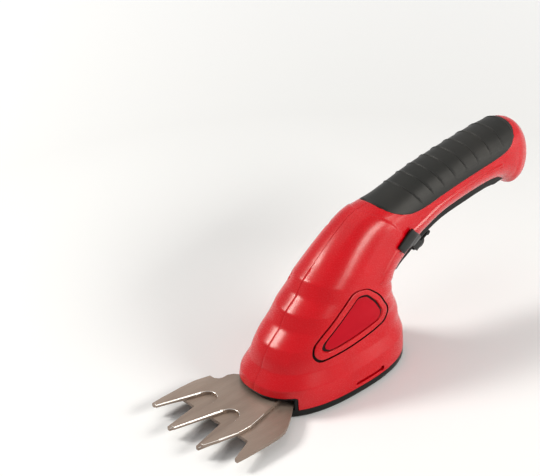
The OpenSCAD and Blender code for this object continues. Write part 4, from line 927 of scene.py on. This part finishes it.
# Lock-off saddle: a black slider round the neck and under the lever, with two cheeks and a finger nub.
# It is one moulding, held by tabs in two slots of the shells, and slides along the neck.
LOCK_STATION, LOCK_GAP, LOCK_THICK, LOCK_DROP, PLATE_THICK = 13.65, 0.6, 1.2, 1.0, 1.4
CHEEK_LONG, CHEEK_TURNS, STATION_LONG = 14.6, (93.0, 111.0), 11.2
BAND_STATION, BAND_LONG, BAND_GAP, BAND_THICK, BAND_DROP = 14.3, 6.0, 0.4, 0.9, 0.2
FLAT_TURNS, PLATE_STATIONS, PLATE_HALF = (25.0, 29.0), (13.9, 15.45), 6.5
NUB_STATION, NUB_DROP, NUB_RADIUS, NUB_HALF = 14.62, 1.6, 3.7, 5.8
HEEL_STATION, HEEL_DROP, HEEL_RADIUS, HEEL_HALF = 15.5, 0.8, 1.6, 6.3


def lock_low(s, extra):
    return under(s, lever_proud(s) + LOCK_DROP + extra)


lock_way = (lock_low(LOCK_STATION + 0.5, 0.0) - lock_low(LOCK_STATION - 0.5, 0.0)).normalized()


def saddle_point(along, column):
    """A cheek on each side, and a band that hugs the neck down to a flat under the lever, out and back."""
    side, a = column
    off = 180.0 - abs(a - 180.0)
    cheek = 1 - step(off, CHEEK_TURNS[1], CHEEK_TURNS[1] + 2.0)
    gap = BAND_GAP + (LOCK_GAP - BAND_GAP)*cheek
    thick = BAND_THICK + (LOCK_THICK - BAND_THICK)*cheek
    station = BAND_STATION + (LOCK_STATION - BAND_STATION)*cheek
    reach = BAND_LONG/2 + (CHEEK_LONG - BAND_LONG)/2*cheek
    point = skin(station, a, -gap - (0.0 if side else thick))
    point.y *= smooth_row(station + along*reach/STATION_LONG)[4]/smooth_row(station)[4]
    flat = 1 - step(abs(a - 180.0), *FLAT_TURNS)
    low = lock_low(BAND_STATION, BAND_DROP if side else BAND_DROP + BAND_THICK)
    point.x += (low.x*MM - point.x)*flat
    point.z += (low.y*MM - point.z)*flat
    return point + Vector((lock_way.x, 0.0, lock_way.y))*(along*reach*MM)


saddle_turns = spread(CHEEK_TURNS[0], 360.0 - CHEEK_TURNS[0], 120)
saddle_columns = [(0, a) for a in saddle_turns] + [(1, a) for a in reversed(saddle_turns)]
saddle_columns.append((0, saddle_turns[0]))
saddle = wrapped_grid('lock_off_saddle', spread(-1.0, 1.0, 8), saddle_columns, saddle_point)
clean(saddle)
close_rim(saddle)
plate_stations = spread(*PLATE_STATIONS, 6)
plate_line = [tuple(lock_low(s, 0.0)) for s in plate_stations]
plate_line += [tuple(lock_low(s, PLATE_THICK)) for s in reversed(plate_stations)]
plate = prism('lock_plate', plate_line, -PLATE_HALF, PLATE_HALF, 'Y')
nub_at, heel_at = lock_low(NUB_STATION, NUB_DROP), lock_low(HEEL_STATION, HEEL_DROP)
nub = prism('lock_nub', circle_points(nub_at.x, nub_at.y, NUB_RADIUS), -NUB_HALF, NUB_HALF, 'Y')
heel = prism('lock_heel', circle_points(heel_at.x, heel_at.y, HEEL_RADIUS), -HEEL_HALF, HEEL_HALF, 'Y')
for more in (plate, nub, heel):
    apply_modifier(saddle, 'BOOLEAN', operation='UNION', object=more, solver='EXACT')
    bpy.data.objects.remove(more, do_unlink=True)
apply_modifier(
    saddle, 'BEVEL', width=0.45*MM, segments=2, limit_method='ANGLE', angle_limit=math.radians(50.0))
smooth_shade(saddle, 40.0)
saddle.data.materials.append(lever_black)
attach(saddle, 'lock_off')
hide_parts('lock_off_slider')

# Pieces carried over from the CAD model: screws, rivets, pivot, latch, the drive, the battery and the switch.
# Most are hidden in the body; each keeps its shape and gets the finish of its material.
zinc_steel = grained_finish(
    'zinc_plated_steel', (0.42, 0.42, 0.42), (0.58, 0.58, 0.58), (0.28, 0.44), 1800.0, 0.15, 1.0)
spring_steel = grained_finish(
    'drawn_spring_steel', (0.36, 0.36, 0.37), (0.48, 0.48, 0.50), (0.24, 0.38), 2600.0, 0.12, 1.0)
bronze = grained_finish(
    'sintered_bronze', (0.42, 0.26, 0.10), (0.60, 0.42, 0.18), (0.34, 0.52), 2400.0, 0.20, 1.0)
iron = grained_finish(
    'dark_sintered_iron', (0.07, 0.07, 0.07), (0.12, 0.115, 0.11), (0.48, 0.64), 2600.0, 0.30, 0.8)
grey_plastic = grained_finish(
    'grey_filled_plastic', (0.10, 0.10, 0.11), (0.15, 0.15, 0.16), (0.48, 0.60), 2200.0, 0.2)
white_plastic = grained_finish(
    'natural_white_plastic', (0.66, 0.65, 0.60), (0.78, 0.77, 0.72), (0.36, 0.48), 2200.0, 0.12)
cell_wrap = grained_finish(
    'green_cell_wrap', (0.020, 0.110, 0.045), (0.030, 0.150, 0.065), (0.22, 0.34), 1800.0, 0.08)
board_green = grained_finish(
    'green_board_lacquer', (0.010, 0.090, 0.025), (0.016, 0.130, 0.040), (0.26, 0.40), 2000.0, 0.10)
red_lens = grained_finish(
    'red_clear_lens', (0.42, 0.006, 0.006), (0.52, 0.010, 0.008), (0.08, 0.16), 900.0, 0.04)
SLOT_FINISHES = {
    'red_shell': red_plastic, 'black_plastic': black_plastic, 'blade_steel': blade_steel,
    'plated_steel': zinc_steel, 'spring_steel': spring_steel, 'bronze': bronze, 'iron': iron,
    'grey_plastic': grey_plastic, 'white_plastic': white_plastic, 'cell_wrap': cell_wrap,
    'board_green': board_green, 'red_lens': red_lens, 'soft_grip': soft_rubber, 'badge_red': badge_red,
}
for piece in frame['record']['subparts']:
    node = frame['nodes'][piece['node']]
    node.data.materials.clear()
    node.data.materials.append(SLOT_FINISHES[piece['material_slot']])

# Springs: the coils behind the lever and behind the blade latch, copied from the CAD model.
# Each row: CAD node, piece, joint, axis, fixed end in metres, and the share of its length left when pressed.
SPRINGS = [
    ('trigger_spring', 'trigger_coil', 'trigger_press', (0.0, 0.0, 1.0), (0.06651, 0.0, 0.07489), 0.46),
    ('latch_spring', 'latch_coil', 'latch_slide', (1.0, 0.0, 0.0), (0.04342, 0.0, 0.00325), 0.74),
]
for node, name, joint, axis, anchor, keep in SPRINGS:
    spring = bpy.data.objects.new(name, frame['nodes'][node].data.copy())
    scene.collection.objects.link(spring)
    clean(spring)
    smooth_shade(spring, 40.0)
    spring.data.materials.clear()
    spring.data.materials.append(spring_steel)
    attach(spring, 'body')
    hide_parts(node)
    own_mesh(spring)
